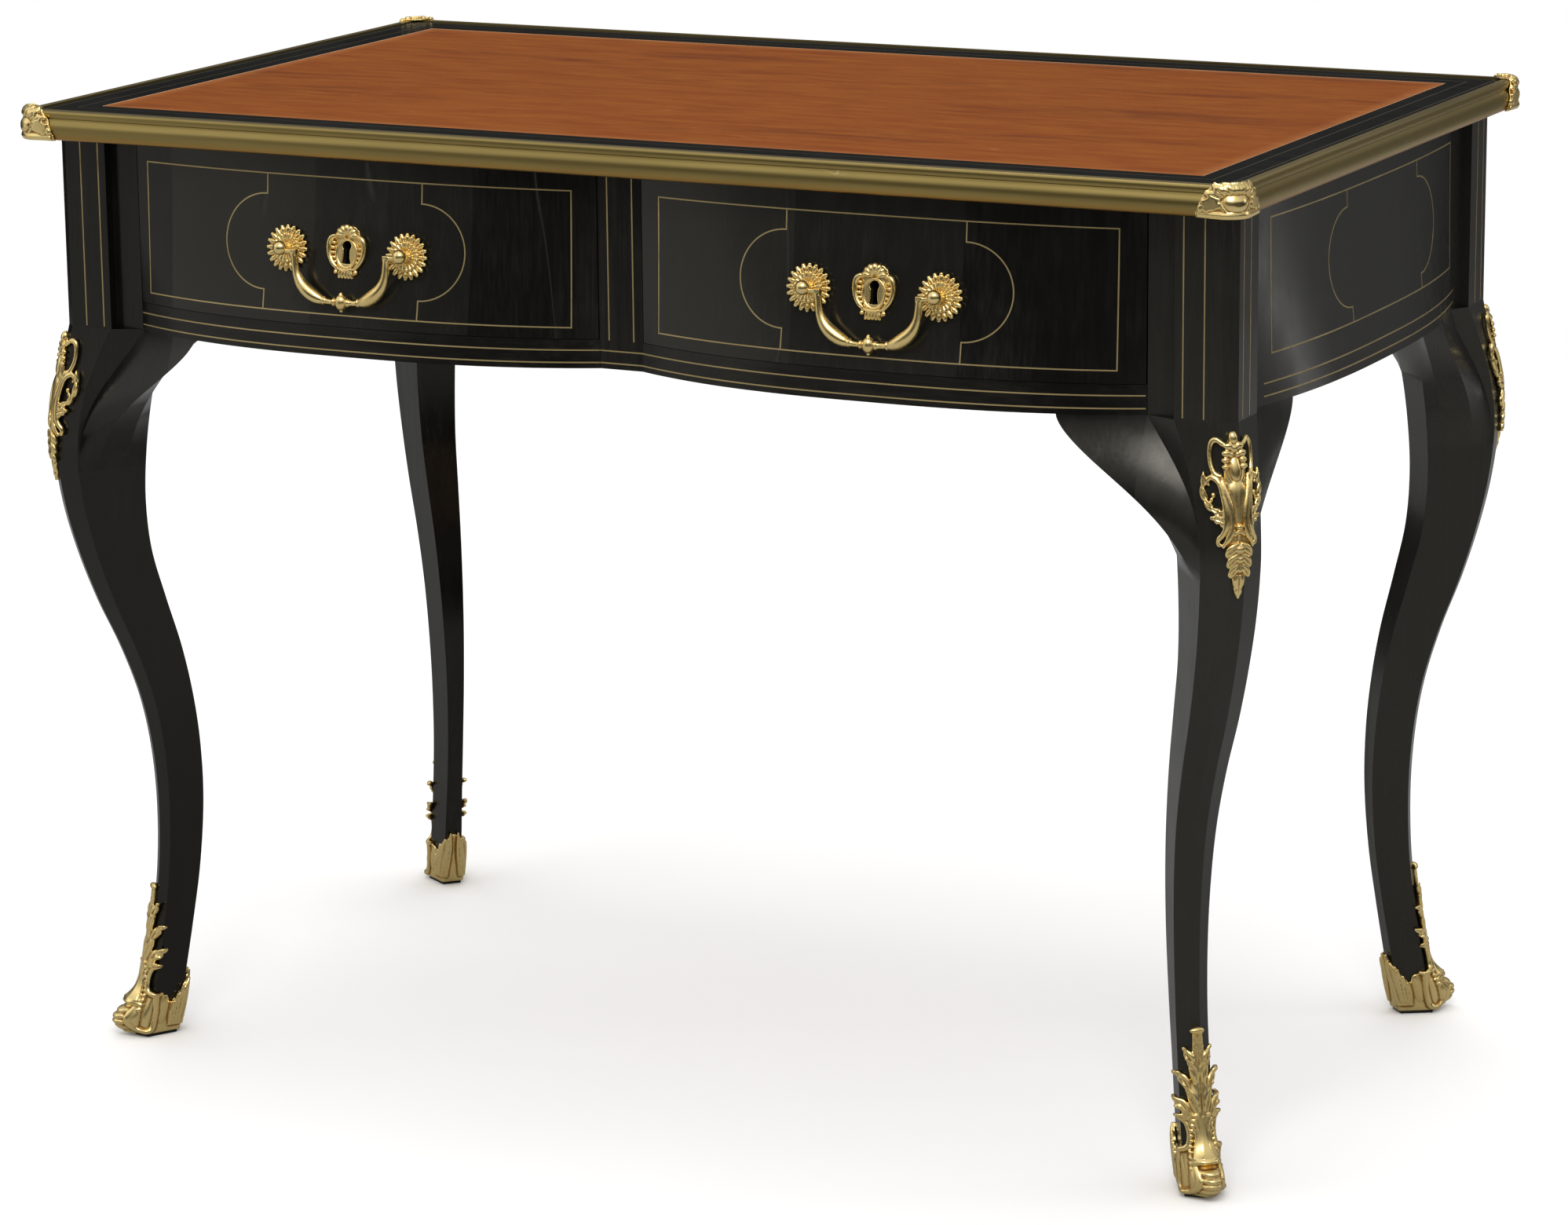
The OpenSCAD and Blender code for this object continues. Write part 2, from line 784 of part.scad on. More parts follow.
// Tails of a drawer side: they widen towards their ends, and run on past their roots.
// A cut for them also runs on past their tips.
module tails(x_low, x_high, root_y, tip_y, tip_past = 0) {
    pitch = (back_top_z - panel_top_z) / dovetail_count;
    half = pitch * dovetail_share / 2;
    neck = half - dovetail_flare;
    way = sign(tip_y - root_y);
    for (i = [0:dovetail_count - 1])
        translate([x_low, 0, panel_top_z + (i + 0.5) * pitch])
            rotate([90, 0, 90])
                linear_extrude(x_high - x_low)
                    polygon([
                        [root_y - way * past, -neck],
                        [root_y, -neck],
                        [tip_y, -half],
                        [tip_y + way * tip_past, -half],
                        [tip_y + way * tip_past, half],
                        [tip_y, half],
                        [root_y, neck],
                        [root_y - way * past, neck],
                    ]);
}

module keyhole(length) {
    slot = keyhole_size * 0.55;
    drop = keyhole_height - keyhole_size / 2;
    rotate([-90, 0, 0])
        linear_extrude(length) {
            translate([0, -keyhole_height / 2 + keyhole_size / 2]) circle(d = keyhole_size);
            translate([-slot / 2, -keyhole_height / 2 + keyhole_size / 2]) square([slot, drop]);
        }
}

module lock_space() {
    box([drawer_x - lock_width / 2, front_inner_y - past, drawer_top_z - lock_height],
        [drawer_x + lock_width / 2, lock_face_y, drawer_top_z + past]);
}

shank_radius = 2.5;
shank_gap = 0.15;
shank_reach = 6;

module drawer_front() {
    low = stile_half + front_gap;
    high = opening_x - front_gap;
    root = front_inner_y;
    color(ebony)
        difference() {
            bowed_front(low, high, drawer_bottom_z, drawer_top_z, front_inner_y);
            tails(drawer_inner_x, drawer_inner_x + drawer_side_thickness, root, root + dovetail_depth);
            tails(drawer_outer_x - drawer_side_thickness, drawer_outer_x, root, root + dovetail_depth);
            box([drawer_inner_x + drawer_side_thickness - groove_depth, root - past, panel_z],
                [drawer_outer_x - drawer_side_thickness + groove_depth, root + groove_depth, panel_top_z]);
            lock_space();
            translate([drawer_x, root, handle_z]) keyhole(2 * front_thickness + front_bow);
            for (way = [-1, 1])
                translate([drawer_x + way * rosette_spacing / 2, root - past, handle_z])
                    rotate([-90, 0, 0])
                        cylinder(r = shank_radius + shank_gap, h = 2 * front_thickness + front_bow);
        }
}

// Side with tails into the front and through the back, and a groove on its inner face
module drawer_side(outer_face, inner_face) {
    low = min(outer_face, inner_face);
    high = max(outer_face, inner_face);
    way = sign(outer_face - inner_face);
    root = front_inner_y - drawer_length + drawer_back_thickness;
    groove = inner_face + way * groove_depth;
    color(oak)
        difference() {
            union() {
                box([low, root, drawer_bottom_z], [high, front_inner_y, side_top_z]);
                tails(low, high, front_inner_y, front_inner_y + dovetail_depth);
                tails(low, high, root, drawer_end_y);
            }
            box([min(groove, inner_face - way * past), drawer_end_y - past, panel_z],
                [max(groove, inner_face - way * past), front_inner_y + past, panel_top_z]);
        }
}

module drawer_back() {
    color(oak)
        difference() {
            box([drawer_inner_x, drawer_end_y, panel_top_z],
                [drawer_outer_x, drawer_end_y + drawer_back_thickness, back_top_z]);
            for (low = [drawer_inner_x, drawer_outer_x - drawer_side_thickness])
                tails(low, low + drawer_side_thickness, drawer_end_y + drawer_back_thickness, drawer_end_y, past);
        }
}

module drawer_bottom() {
    inset = drawer_side_thickness - groove_depth;
    color(oak)
        box([drawer_inner_x + inset, drawer_end_y, panel_z],
            [drawer_outer_x - inset, front_inner_y + groove_depth, panel_top_z]);
}

// Locks

pin_size = 2.6;
channel_end = 3;

module lock_case() {
    channel_x = bolt_width / 2 + bolt_gap;
    channel_y = bolt_thickness / 2 + bolt_gap;
    color(steel) {
        difference() {
            box([drawer_x - lock_width / 2, front_inner_y, drawer_top_z - lock_height],
                [drawer_x + lock_width / 2, lock_face_y, drawer_top_z]);
            box([drawer_x - channel_x, bolt_y - channel_y, drawer_top_z - bolt_length - channel_end],
                [drawer_x + channel_x, bolt_y + channel_y, drawer_top_z + past]);
            translate([drawer_x, front_inner_y + lock_thickness / 3, handle_z]) keyhole(lock_thickness);
        }
        translate([drawer_x, front_inner_y + lock_thickness / 4, handle_z + keyhole_height / 2 - keyhole_size / 2])
            rotate([-90, 0, 0])
                cylinder(d = pin_size, h = lock_thickness * 3 / 4);
    }
}

module lock_bolt() {
    color(steel)
        box([drawer_x - bolt_width / 2, bolt_y - bolt_thickness / 2, drawer_top_z - bolt_length],
            [drawer_x + bolt_width / 2, bolt_y + bolt_thickness / 2, drawer_top_z]);
}

// Handles and keyhole plates

// Lean of the drawer front at handle height, as a fall outward per unit of height
lean_step = 5;
lean = (front_face(drawer_x, handle_z - lean_step) - front_face(drawer_x, handle_z + lean_step))
    / (2 * lean_step);
lean_angle = atan(lean);
// How far out a flat leaning mount of given half sizes has to lie to clear the bowed front
function mount_rest(x, half_x, half_z) = seat + max([
    for (across = [-1, 0, 1], up = [-1, 0, 1])
        front_face(x + across * half_x, handle_z + up * half_z) + lean * up * half_z
]);
rosette_y = mount_rest(drawer_x + rosette_spacing / 2, rosette_size / 2, rosette_size / 2);
plate_y = mount_rest(drawer_x, plate_width / 2, plate_height / 2);
pivot_y = rosette_y + pivot_reach;

// Turns a flat mount drawn in X and Y so that it lies on the leaning front, its face outward
module on_front(x, y) {
    translate([x, y, handle_z]) rotate([lean_angle - 90, 0, 0]) children();
}

// Outline of a petal from its tip, as shares of the rosette's radius
petal_outline = [1, 0.96, 0.87, 0.96];
inner_petals = 0.66;
petal_share = 0.5;
inner_petal_share = 0.85;
bore_end = 3;

module petals(radius, height) {
    count = petal_count * len(petal_outline);
    linear_extrude(height)
        polygon([
            for (i = [0:count - 1])
                radius * petal_outline[i % len(petal_outline)] * [cos(i * 360 / count), sin(i * 360 / count)]
        ]);
}

module rosette(way) {
    x = drawer_x + way * rosette_spacing / 2;
    radius = rosette_size / 2;
    color(gilt)
        difference() {
            union() {
                on_front(x, rosette_y) {
                    petals(radius, rosette_thickness * petal_share);
                    rotate([0, 0, 180 / petal_count])
                        petals(radius * inner_petals, rosette_thickness * inner_petal_share);
                    cylinder(r1 = radius / 2, r2 = knob_radius, h = rosette_thickness + past);
                }
                translate([x, front_inner_y - shank_reach, handle_z])
                    rotate([-90, 0, 0])
                        cylinder(r = shank_radius, h = pivot_y - front_inner_y + shank_reach);
                translate([x, pivot_y, handle_z]) rotate([0, 90, 0]) sphere(r = knob_radius);
            }
            translate([x + way * bore_end, pivot_y, handle_z])
                rotate([0, -90 * way, 0])
                    cylinder(r = pin_radius + pin_gap, h = 2 * knob_radius);
        }
}

// Hanging handle: its middle line and its radius from one arm to the other
bail_half = [
    [1.00, 0.00, 0.52],
    [0.985, 0.22, 0.56],
    [0.94, 0.42, 0.74],
    [0.85, 0.62, 0.96],
    [0.72, 0.80, 1.00],
    [0.56, 0.93, 0.86],
    [0.42, 0.99, 0.58],
    [0.26, 1.00, 0.46],
    [0.19, 1.00, 0.52],
    [0.15, 1.00, 0.95],
    [0.07, 1.00, 1.20],
];
bail_sides = 10;
stub_gap = 0.6;

function bail_path() = concat(
    [for (p = bail_half) [-p[0] * bail_half_width, -p[1] * bail_drop, p[2] * bail_swell]],
    [for (i = [len(bail_half) - 1:-1:0])
        [bail_half[i][0] * bail_half_width, -bail_half[i][1] * bail_drop, bail_half[i][2] * bail_swell]]
);

module bail() {
    path = bail_path();
    last = len(path) - 1;
    stub = rosette_spacing / 2 - bail_half_width + bore_end;
    color(gilt)
        translate([drawer_x, pivot_y, handle_z]) {
            loft([
                for (i = [0:last])
                    let (
                        ahead = path[min(last, i + 1)],
                        behind = path[max(0, i - 1)],
                        along = unit([ahead[0] - behind[0], ahead[1] - behind[1]])
                    )
                    [
                        for (k = [0:bail_sides - 1])
                            let (turn = k * 360 / bail_sides, side = path[i][2] * cos(turn))
                            [
                                path[i][0] + along.y * side,
                                path[i][2] * sin(turn),
                                path[i][1] - along.x * side,
                            ]
                    ]
            ]);
            for (way = [-1, 1])
                translate([way * bail_half_width, 0, 0]) {
                    rotate([0, 90, 0]) sphere(r = bail_swell * bail_half[0][2] * 1.02);
                    rotate([0, 90 * way, 0]) cylinder(r = pin_radius, h = stub - stub_gap);
                }
        }
}

plate_lobes = [[-0.3, 0.05, 0.36], [0.3, 0.05, 0.36], [0, 0.36, 0.3], [0, -0.36, 0.2], [0, -0.1, 0.34]];

module keyhole_plate() {
    color(gilt)
        difference() {
            on_front(drawer_x, plate_y)
                for (lobe = plate_lobes)
                    translate([lobe[0] * plate_width / 2 * 1.3, -lobe[1] * plate_height, 0])
                        cylinder(r = lobe[2] * plate_width, h = plate_thickness);
            translate([drawer_x, plate_y - front_bow / 2, handle_z]) keyhole(front_bow);
        }
}

for (corner = CORNERS) {
    at_corner(corner) leg();
    at_corner(corner) chute();
    at_corner(corner) sabot();
    at_corner(corner) clasp();
}
for (hand = HANDS) {
    at_back(hand) side_panel();
    at_front(hand) rail();
    at_back(hand) rail();
    at_back(hand) back_panel();
    at_back(hand) outer_runner();
    at_back(hand) mirror([1, -1, 0]) moulding(moulding_y, moulding_x);
    at_front(hand) drawer_front();
    at_front(hand) drawer_side(drawer_inner_x, drawer_inner_x + drawer_side_thickness);
    at_front(hand) drawer_side(drawer_outer_x, drawer_outer_x - drawer_side_thickness);
    at_front(hand) drawer_back();
    at_front(hand) drawer_bottom();
    at_front(hand) rosette(-1);
    at_front(hand) rosette(1);
    at_front(hand) bail();
    at_front(hand) keyhole_plate();
    at_front(hand) lock_case();
    at_front(hand) lock_bolt();
}
at_front("right") centre_stile();  // front_centre_stile
at_back("right") centre_stile();  // back_centre_stile
centre_divider();
centre_runner();
top_board();
border();
leather();
mirror([0, 1, 0]) moulding(moulding_x, moulding_y);  // moulding_front
moulding(moulding_x, moulding_y);  // moulding_back
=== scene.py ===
"""Dress an ebonised writing table: a leather top in a brass moulding, two bowed drawers, cabriole legs
and gilt bronze mounts.

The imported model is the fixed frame. Shapes are drawn in millimetres, for the right back quarter where
the table mirrors itself, and each piece is turned to metres when it is finished.
"""

from __future__ import annotations

import json
import logging
import math
from dataclasses import dataclass, field
from enum import Enum
from functools import lru_cache
from typing import Callable, Sequence

import bmesh
import bpy
import numpy as np
from bmesh.types import BMesh, BMVert
from bpy.types import Material, Mesh, Node, NodeSocket, NodeTree, Object
from mathutils import Matrix, Vector

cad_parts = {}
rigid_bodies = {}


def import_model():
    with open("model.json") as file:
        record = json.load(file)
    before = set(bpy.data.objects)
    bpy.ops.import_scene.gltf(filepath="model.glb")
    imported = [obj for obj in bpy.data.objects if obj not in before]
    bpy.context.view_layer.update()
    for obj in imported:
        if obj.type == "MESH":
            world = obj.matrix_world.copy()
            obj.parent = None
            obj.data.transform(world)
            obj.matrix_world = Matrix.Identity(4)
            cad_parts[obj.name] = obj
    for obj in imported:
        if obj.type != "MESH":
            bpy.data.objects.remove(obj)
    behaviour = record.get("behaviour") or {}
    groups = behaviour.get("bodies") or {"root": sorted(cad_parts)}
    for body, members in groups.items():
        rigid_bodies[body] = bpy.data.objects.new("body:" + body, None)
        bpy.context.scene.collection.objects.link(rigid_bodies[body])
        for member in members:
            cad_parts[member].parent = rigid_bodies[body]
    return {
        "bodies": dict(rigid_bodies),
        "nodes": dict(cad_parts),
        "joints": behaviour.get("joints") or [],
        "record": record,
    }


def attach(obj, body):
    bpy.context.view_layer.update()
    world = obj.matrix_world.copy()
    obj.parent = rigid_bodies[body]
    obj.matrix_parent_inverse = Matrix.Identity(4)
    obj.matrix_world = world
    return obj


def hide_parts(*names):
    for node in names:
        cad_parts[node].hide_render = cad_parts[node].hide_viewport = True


LOG = logging.getLogger("writing_table")
MM = 0.001
SHADER = "Principled BSDF"

Point = tuple[float, float]
Rows = Sequence[Sequence[float]]
Triple = tuple[float, float, float]
Place = Callable[[int, int], Vector]
Face = Callable[[float, float], Vector]
Bed = Callable[[float, float, float], Vector]


class Corner(Enum):
    """A corner of the table, with the signs that mirror a shape from the right back quarter to it."""

    FRONT_LEFT = ("front_left", -1, -1)
    FRONT_RIGHT = ("front_right", 1, -1)
    BACK_LEFT = ("back_left", -1, 1)
    BACK_RIGHT = ("back_right", 1, 1)

    @property
    def label(self) -> str:
        """Name of the corner as it ends the names of its pieces."""
        return self.value[0]

    @property
    def signs(self) -> tuple[int, int]:
        """Signs across and along the depth of the table."""
        return self.value[1], self.value[2]


class Hand(Enum):
    """Left or right half of the table."""

    LEFT = ("left", -1)
    RIGHT = ("right", 1)

    @property
    def label(self) -> str:
        """Name of the hand as it ends the names of its pieces."""
        return self.value[0]

    @property
    def sign(self) -> int:
        """Sign across the table."""
        return self.value[1]


class Lay(Enum):
    """Which way the fibres of a wooden piece run."""

    ACROSS = (0.06, 1.0, 1.0)
    DEEP = (1.0, 0.06, 1.0)
    UPRIGHT = (1.0, 1.0, 0.05)


# Curves and faces of the table


def mix(low: float, high: float, share: float) -> float:
    """Value at a share of the way from low to high."""
    return low + (high - low) * share


def between(a: Sequence[float], b: Sequence[float], share: float) -> Point:
    """Point at a share of the way from a to b."""
    return mix(a[0], b[0], share), mix(a[1], b[1], share)


def swell(x: float, centre: float, width: float) -> float:
    """Bell curve of height 1 about a centre."""
    return math.exp(-(((x - centre) / width) ** 2))


def along_curve(points: Rows, share: float) -> list[float]:
    """Place on a smooth curve through rows of numbers.

    Args:
        points: The rows, each with equally many numbers.
        share: How far along the curve the place lies, from 0 to 1.

    Returns:
        One number for each column of the rows.
    """
    last = len(points) - 1
    run = min(max(share, 0.0), 1.0) * last
    i = min(int(run), last - 1)
    t = run - i
    rows = [points[min(max(k, 0), last)] for k in (i - 1, i, i + 1, i + 2)]
    return [
        0.5 * (2 * b + (c - a) * t + (2 * a - 5 * b + 4 * c - d) * t * t + (3 * b - a - 3 * c + d) * t**3)
        for a, b, c, d in zip(*rows)
    ]


@dataclass(frozen=True)
class TableForm:
    """Sizes of the table in millimetres, and the curved faces that its pieces lie on."""

    under_top: float = 747.0
    frieze_bottom: float = 594.5
    rail_top: float = 616.5
    border_top: float = 769.0
    board_half: Point = (502.5, 298.0)
    leather_half: Point = (466.0, 261.5)
    post: Point = (498.0, 279.0)
    stile: Point = (489.0, 270.0)
    post_edge: Point = (452.0, 233.0)
    opening_x: float = 428.0
    side_end_y: float = 219.0
    stile_half: float = 18.5
    bevel_leg: float = 9.192
    drawer_x: float = 223.25
    half_opening: float = 204.75
    handle_z: float = 673.5
    front_bow: Point = (16.0, 38.0)
    side_bow: Point = (9.0, 21.0)
    bow_power: float = 2.6
    knee_swell: float = 16.5
    ankle_draw: float = 55.0
    leg_depth: Point = (33.0, 70.0)
    leg_width: Point = (26.0, 48.0)
    bracket_reach: float = 54.0
    front_bracket_reach: float = 62.0
    bracket_height: float = 115.0
    bracket_thickness: float = 24.0
    bracket_steps: int = 8
    bracket_root: float = 0.35
    bracket_back: float = 0.75
    knee_start: float = 0.83
    shoulder_slope: Point = (0.7, 1.0)
    ridge_bevel: Point = (3.0, 6.5)
    inner_inset: float = 6.0
    leg_stations: tuple[tuple[float, float, float, float], ...] = (
        (0.00, -0.52, 0.00, 0.10), (0.08, -0.70, -0.02, 0.06), (0.16, -0.86, -0.02, 0.00),
        (0.24, -0.97, 0.02, 0.00), (0.33, -1.00, 0.09, 0.08), (0.41, -0.94, 0.15, 0.20),
        (0.48, -0.80, 0.23, 0.32), (0.55, -0.55, 0.38, 0.46), (0.62, -0.23, 0.54, 0.63),
        (0.69, 0.10, 0.64, 0.77), (0.76, 0.72, 0.82, 0.90), (0.83, 1.00, 1.00, 1.00),
        (0.90, 0.84, 1.08, 1.12), (0.96, 0.35, 1.06, 1.42), (1.00, 0.00, 1.02, 1.77),
    )

    def bow_share(self, place: float) -> float:
        """Share of the full bow at a place from -1 to 1 across a bowed stretch."""
        return 1 - min(1.0, abs(place)) ** self.bow_power

    def drop_share(self, z: float) -> float:
        """Share of the lower bow at a height on the frieze."""
        return (max(0.0, self.under_top - z) / (self.under_top - self.frieze_bottom)) ** 1.5

    def front_face(self, x: float, z: float) -> float:
        """Distance of the bowed front from the middle of the table."""
        bow = self.bow_share((abs(x) - self.drawer_x) / self.half_opening)
        return self.stile[1] + mix(*self.front_bow, self.drop_share(z)) * bow

    def side_face(self, y: float, z: float) -> float:
        """Distance of a bowed end from the middle of the table."""
        return self.stile[0] + mix(*self.side_bow, self.drop_share(z)) * self.bow_share(y / self.side_end_y)

    def station(self, height: float, column: int) -> float:
        """Smooth curve through one column of the leg's outline, at a share of its height."""
        rows = self.leg_stations
        if column == 1:
            rows = [(row[0], row[1] * (self.knee_swell if row[1] > 0 else self.ankle_draw)) for row in rows]
        i = 0
        while i < len(rows) - 2 and height >= rows[i + 1][0]:
            i += 1

        def rise(k: int) -> float:
            low, high = rows[max(0, k - 1)], rows[min(len(rows) - 1, k + 1)]
            return (high[column] - low[column]) / (high[0] - low[0])

        span = rows[i + 1][0] - rows[i][0]
        t = (height - rows[i][0]) / span
        return (
            rows[i][column] * (2 * t**3 - 3 * t**2 + 1)
            + rows[i + 1][column] * (3 * t**2 - 2 * t**3)
            + span * (rise(i) * (t**3 - 2 * t**2 + t) + rise(i + 1) * (t**3 - t**2))
        )

    def on_leg(self, out: float, across: float) -> Point:
        """Point at a distance outward along the diagonal of the leg and sideways across it."""
        half = math.sqrt(0.5)
        return (
            self.post[0] - self.bevel_leg / 2 + (out + across) * half,
            self.post[1] - self.bevel_leg / 2 + (out - across) * half,
        )

    @lru_cache(maxsize=4096)
    def leg_section(self, z: float) -> tuple[Point, ...]:
        """Section of a leg at a height: side bracket, outer faces, front bracket, inner bevel.

        Args:
            z: Height above the floor.

        Returns:
            The points of the section in turn, equally many at each height.
        """
        h = min(max(z / self.frieze_bottom, 0.0), 1.0)
        out = self.station(h, 1)
        depth = mix(*self.leg_depth, self.station(h, 2))
        half = mix(*self.leg_width, self.station(h, 3)) / 2
        slope = mix(*self.shoulder_slope, max(0.0, (h - self.knee_start) / (1 - self.knee_start)))
        bevel = mix(*self.ridge_bevel, h)
        shoulder = out - (half - bevel) * slope
        # The brackets grow as the section nears the frieze: flush is their depth and fade their reach.
        rise = max(0.0, 1 - (1 - h) * self.frieze_bottom / self.bracket_height)
        flush = 1 - (1 - rise) ** 1.6
        fade = mix(1 - math.sqrt(1 - rise**2), rise**1.2, 0.4)
        side_tip, front_tip = self.side_end_y - self.bracket_reach, self.opening_x - self.front_bracket_reach
        outer = {way: self.on_leg(shoulder, way * half) for way in (1, -1)}
        inner = {way: self.on_leg(out - depth, way * (half - self.inner_inset)) for way in (1, -1)}
        steps = [k / self.bracket_steps for k in range(self.bracket_steps + 1)]

        def zone(way: int, faces: list[Point], deep: int) -> list[Point]:
            root = between(outer[way], inner[way], self.bracket_root)
            start, tip = list(outer[way]), list(between(root, faces[-1], fade))
            start[deep] -= (self.post[0] - self.stile[0]) * rise**0.8
            tip[deep] = mix(root[deep], faces[-1][deep], flush)
            line = [between(start, tip, mix(0.02, 1.0, t)) for t in steps]
            return [between(a, b, rise**3) for a, b in zip(line, faces)]

        def behind(way: int, back: Point, deep: int) -> Point:
            base = between(outer[way], inner[way], self.bracket_back)
            spot = list(between(base, back, fade))
            spot[deep] = mix(base[deep], back[deep], flush)
            return spot[0], spot[1]

        side_places = [mix(self.side_end_y, side_tip, t) for t in steps]
        front_places = [mix(self.opening_x, front_tip, t) for t in steps]
        side = zone(1, [(self.side_face(y, z), y) for y in side_places], 0)
        front = zone(-1, [(x, self.front_face(x, z)) for x in front_places], 1)
        side_back = (self.side_face(side_tip, z) - self.bracket_thickness, side_tip)
        front_back = (front_tip, self.front_face(front_tip, z) - self.bracket_thickness)
        ridge = (outer[1], self.on_leg(out, bevel), self.on_leg(out, -bevel), outer[-1])
        backs = behind(1, side_back, 0), behind(-1, front_back, 1)
        return (backs[0], *reversed(side), *ridge, *front, backs[1], inner[-1], inner[1])

    @lru_cache(maxsize=4096)
    def outer_line(self, z: float, way: int) -> tuple[Point, ...]:
        """Half of a leg's section, from the middle of the outer bevel round to that of the inner one.

        Args:
            z: Height above the floor.
            way: 1 by the front, -1 by the side.

        Returns:
            The points of the half in turn.
        """
        ring = self.leg_section(z)
        bevel = self.bracket_steps + 3
        front, back = between(ring[bevel], ring[bevel + 1], 0.5), between(ring[-1], ring[-2], 0.5)
        if way > 0:
            return (front, *ring[bevel + 1 : -1], back)
        return (front, *reversed(ring[: bevel + 1]), ring[-1], back)

    def leg_point(self, across: float, z: float) -> Vector:
        """Point on the outer face of a leg, at a distance round it from the middle of the bevel.

        Args:
            across: Distance round the face, positive towards the front.
            z: Height above the floor.

        Returns:
            The point.
        """
        low = math.floor(z)
        ends = []
        for level in (low, low + 1):
            line = self.outer_line(float(level), 1 if across >= 0 else -1)
            left = abs(across)
            spot = line[-1]
            for a, b in zip(line, line[1:]):
                run = math.dist(a, b)
                if run > 1e-6 and left <= run:
                    spot = between(a, b, left / run)
                    break
                left -= run
            ends.append(spot)
        x, y = between(ends[0], ends[1], z - low)
        return Vector((x, y, z))


FORM = TableForm()
VENEER_OVER = 0.35


def front_veneer(x: float, z: float) -> Vector:
    """Point on the outside of a front's veneer, in the right back quarter."""
    return Vector((x, FORM.front_face(x, z) + VENEER_OVER, z))


def end_veneer(y: float, z: float) -> Vector:
    """Point on the outside of the right end's veneer."""
    return Vector((FORM.side_face(y, z) + VENEER_OVER, y, z))


# Making meshes


def lofted(along: int, around: int, place: Place, looped: bool = False) -> BMesh:
    """Closed shell through rings of points.

    Args:
        along: Number of rings.
        around: Number of points in each ring.
        place: Gives the point for a ring and a place in it.
        looped: True if the last ring meets the first, so that the shell has no ends.

    Returns:
        A mesh whose faces point outwards.
    """
    shape = bmesh.new()
    rows = along + 1 if looped else along
    grid = bmesh.ops.create_grid(shape, x_segments=around, y_segments=rows - 1, size=1)["verts"]
    for index, vert in enumerate(grid):
        ring, spot = divmod(index, around + 1)
        vert.co = place(ring % along, spot % around)
    bmesh.ops.remove_doubles(shape, verts=shape.verts, dist=1e-4)
    rim = [edge for edge in shape.edges if edge.is_boundary]
    if rim:
        bmesh.ops.holes_fill(shape, edges=rim, sides=0)
    bmesh.ops.recalc_face_normals(shape, faces=shape.faces)
    return shape


def add_shape(target: BMesh, shape: BMesh) -> None:
    """Put a shape into a target mesh and free it."""
    mesh = bpy.data.meshes.new("part")
    shape.to_mesh(mesh)
    shape.free()
    target.from_mesh(mesh)
    bpy.data.meshes.remove(mesh)


def block(low: Sequence[float], high: Sequence[float]) -> BMesh:
    """Box between two corners."""
    shape = bmesh.new()
    low, high = Vector(low), Vector(high)
    bmesh.ops.create_cube(shape, size=1)
    bmesh.ops.scale(shape, vec=high - low, verts=shape.verts)
    bmesh.ops.translate(shape, vec=(high + low) / 2, verts=shape.verts)
    return shape


def prism(outline: Sequence[Point], low: float, high: float) -> BMesh:
    """Upright solid over a flat outline, between two heights."""
    shape = bmesh.new()
    foot = shape.faces.new([shape.verts.new((x, y, low)) for x, y in outline])
    top = bmesh.ops.extrude_face_region(shape, geom=[foot])["geom"]
    lifted = [part for part in top if isinstance(part, BMVert)]
    bmesh.ops.translate(shape, vec=(0, 0, high - low), verts=lifted)
    bmesh.ops.recalc_face_normals(shape, faces=shape.faces)
    return shape


def mirrored(shape: BMesh, signs: Sequence[int]) -> BMesh:
    """Copy of a shape mirrored by signs across and along the depth, its faces pointing outwards."""
    copy = shape.copy()
    bmesh.ops.scale(copy, vec=(signs[0], signs[1], 1), verts=copy.verts)
    if signs[0] * signs[1] < 0:
        bmesh.ops.reverse_faces(copy, faces=copy.faces)
    return copy


@dataclass(frozen=True)
class Dressing:
    """What a new piece belongs to: its body, its finish and the nodes it stands for; its material slot is not
    used.
    """

    body: str
    slot: str
    finish: Material
    replaces: tuple[str, ...] = ()


def finished(
    name: str, shape: BMesh, dressing: Dressing, crease: float = 30.0, rounding: float = 0.0
) -> Object:
    """Turn a shape in millimetres into a piece of the table.

    Args:
        name: Name of the piece.
        shape: The shape, which is freed.
        dressing: What the piece belongs to.
        crease: Angle in degrees past which an edge stays sharp.
        rounding: Width in millimetres of the bevel on the sharp edges, or 0 for none.

    Returns:
        The piece, in metres.
    """
    bmesh.ops.scale(shape, vec=(MM, MM, MM), verts=shape.verts)
    mesh = bpy.data.meshes.new(name)
    shape.to_mesh(mesh)
    shape.free()
    return place_mesh(name, mesh, dressing, crease, rounding)


def place_mesh(name: str, mesh: Mesh, dressing: Dressing, crease: float, rounding: float = 0.0) -> Object:
    """Make a piece of the table from a mesh in metres, with the arguments of finished()."""
    mesh.polygons.foreach_set("use_smooth", [True] * len(mesh.polygons))
    if not rounding:
        mesh.set_sharp_from_angle(angle=math.radians(crease))
    piece = bpy.data.objects.new(name, mesh)
    bpy.context.collection.objects.link(piece)
    mesh.materials.clear()
    mesh.materials.append(dressing.finish)
    if rounding:
        bevel = piece.modifiers.new("rounding", "BEVEL")
        bevel.width = rounding * MM
        bevel.segments = 2
        bevel.limit_method = "ANGLE"
        bevel.angle_limit = math.radians(crease)
        bevel.harden_normals = True
    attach(piece, dressing.body)
    if dressing.replaces:
        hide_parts(*dressing.replaces)
    LOG.info("%s: %d faces on %s", name, len(mesh.polygons), dressing.body)
    return piece


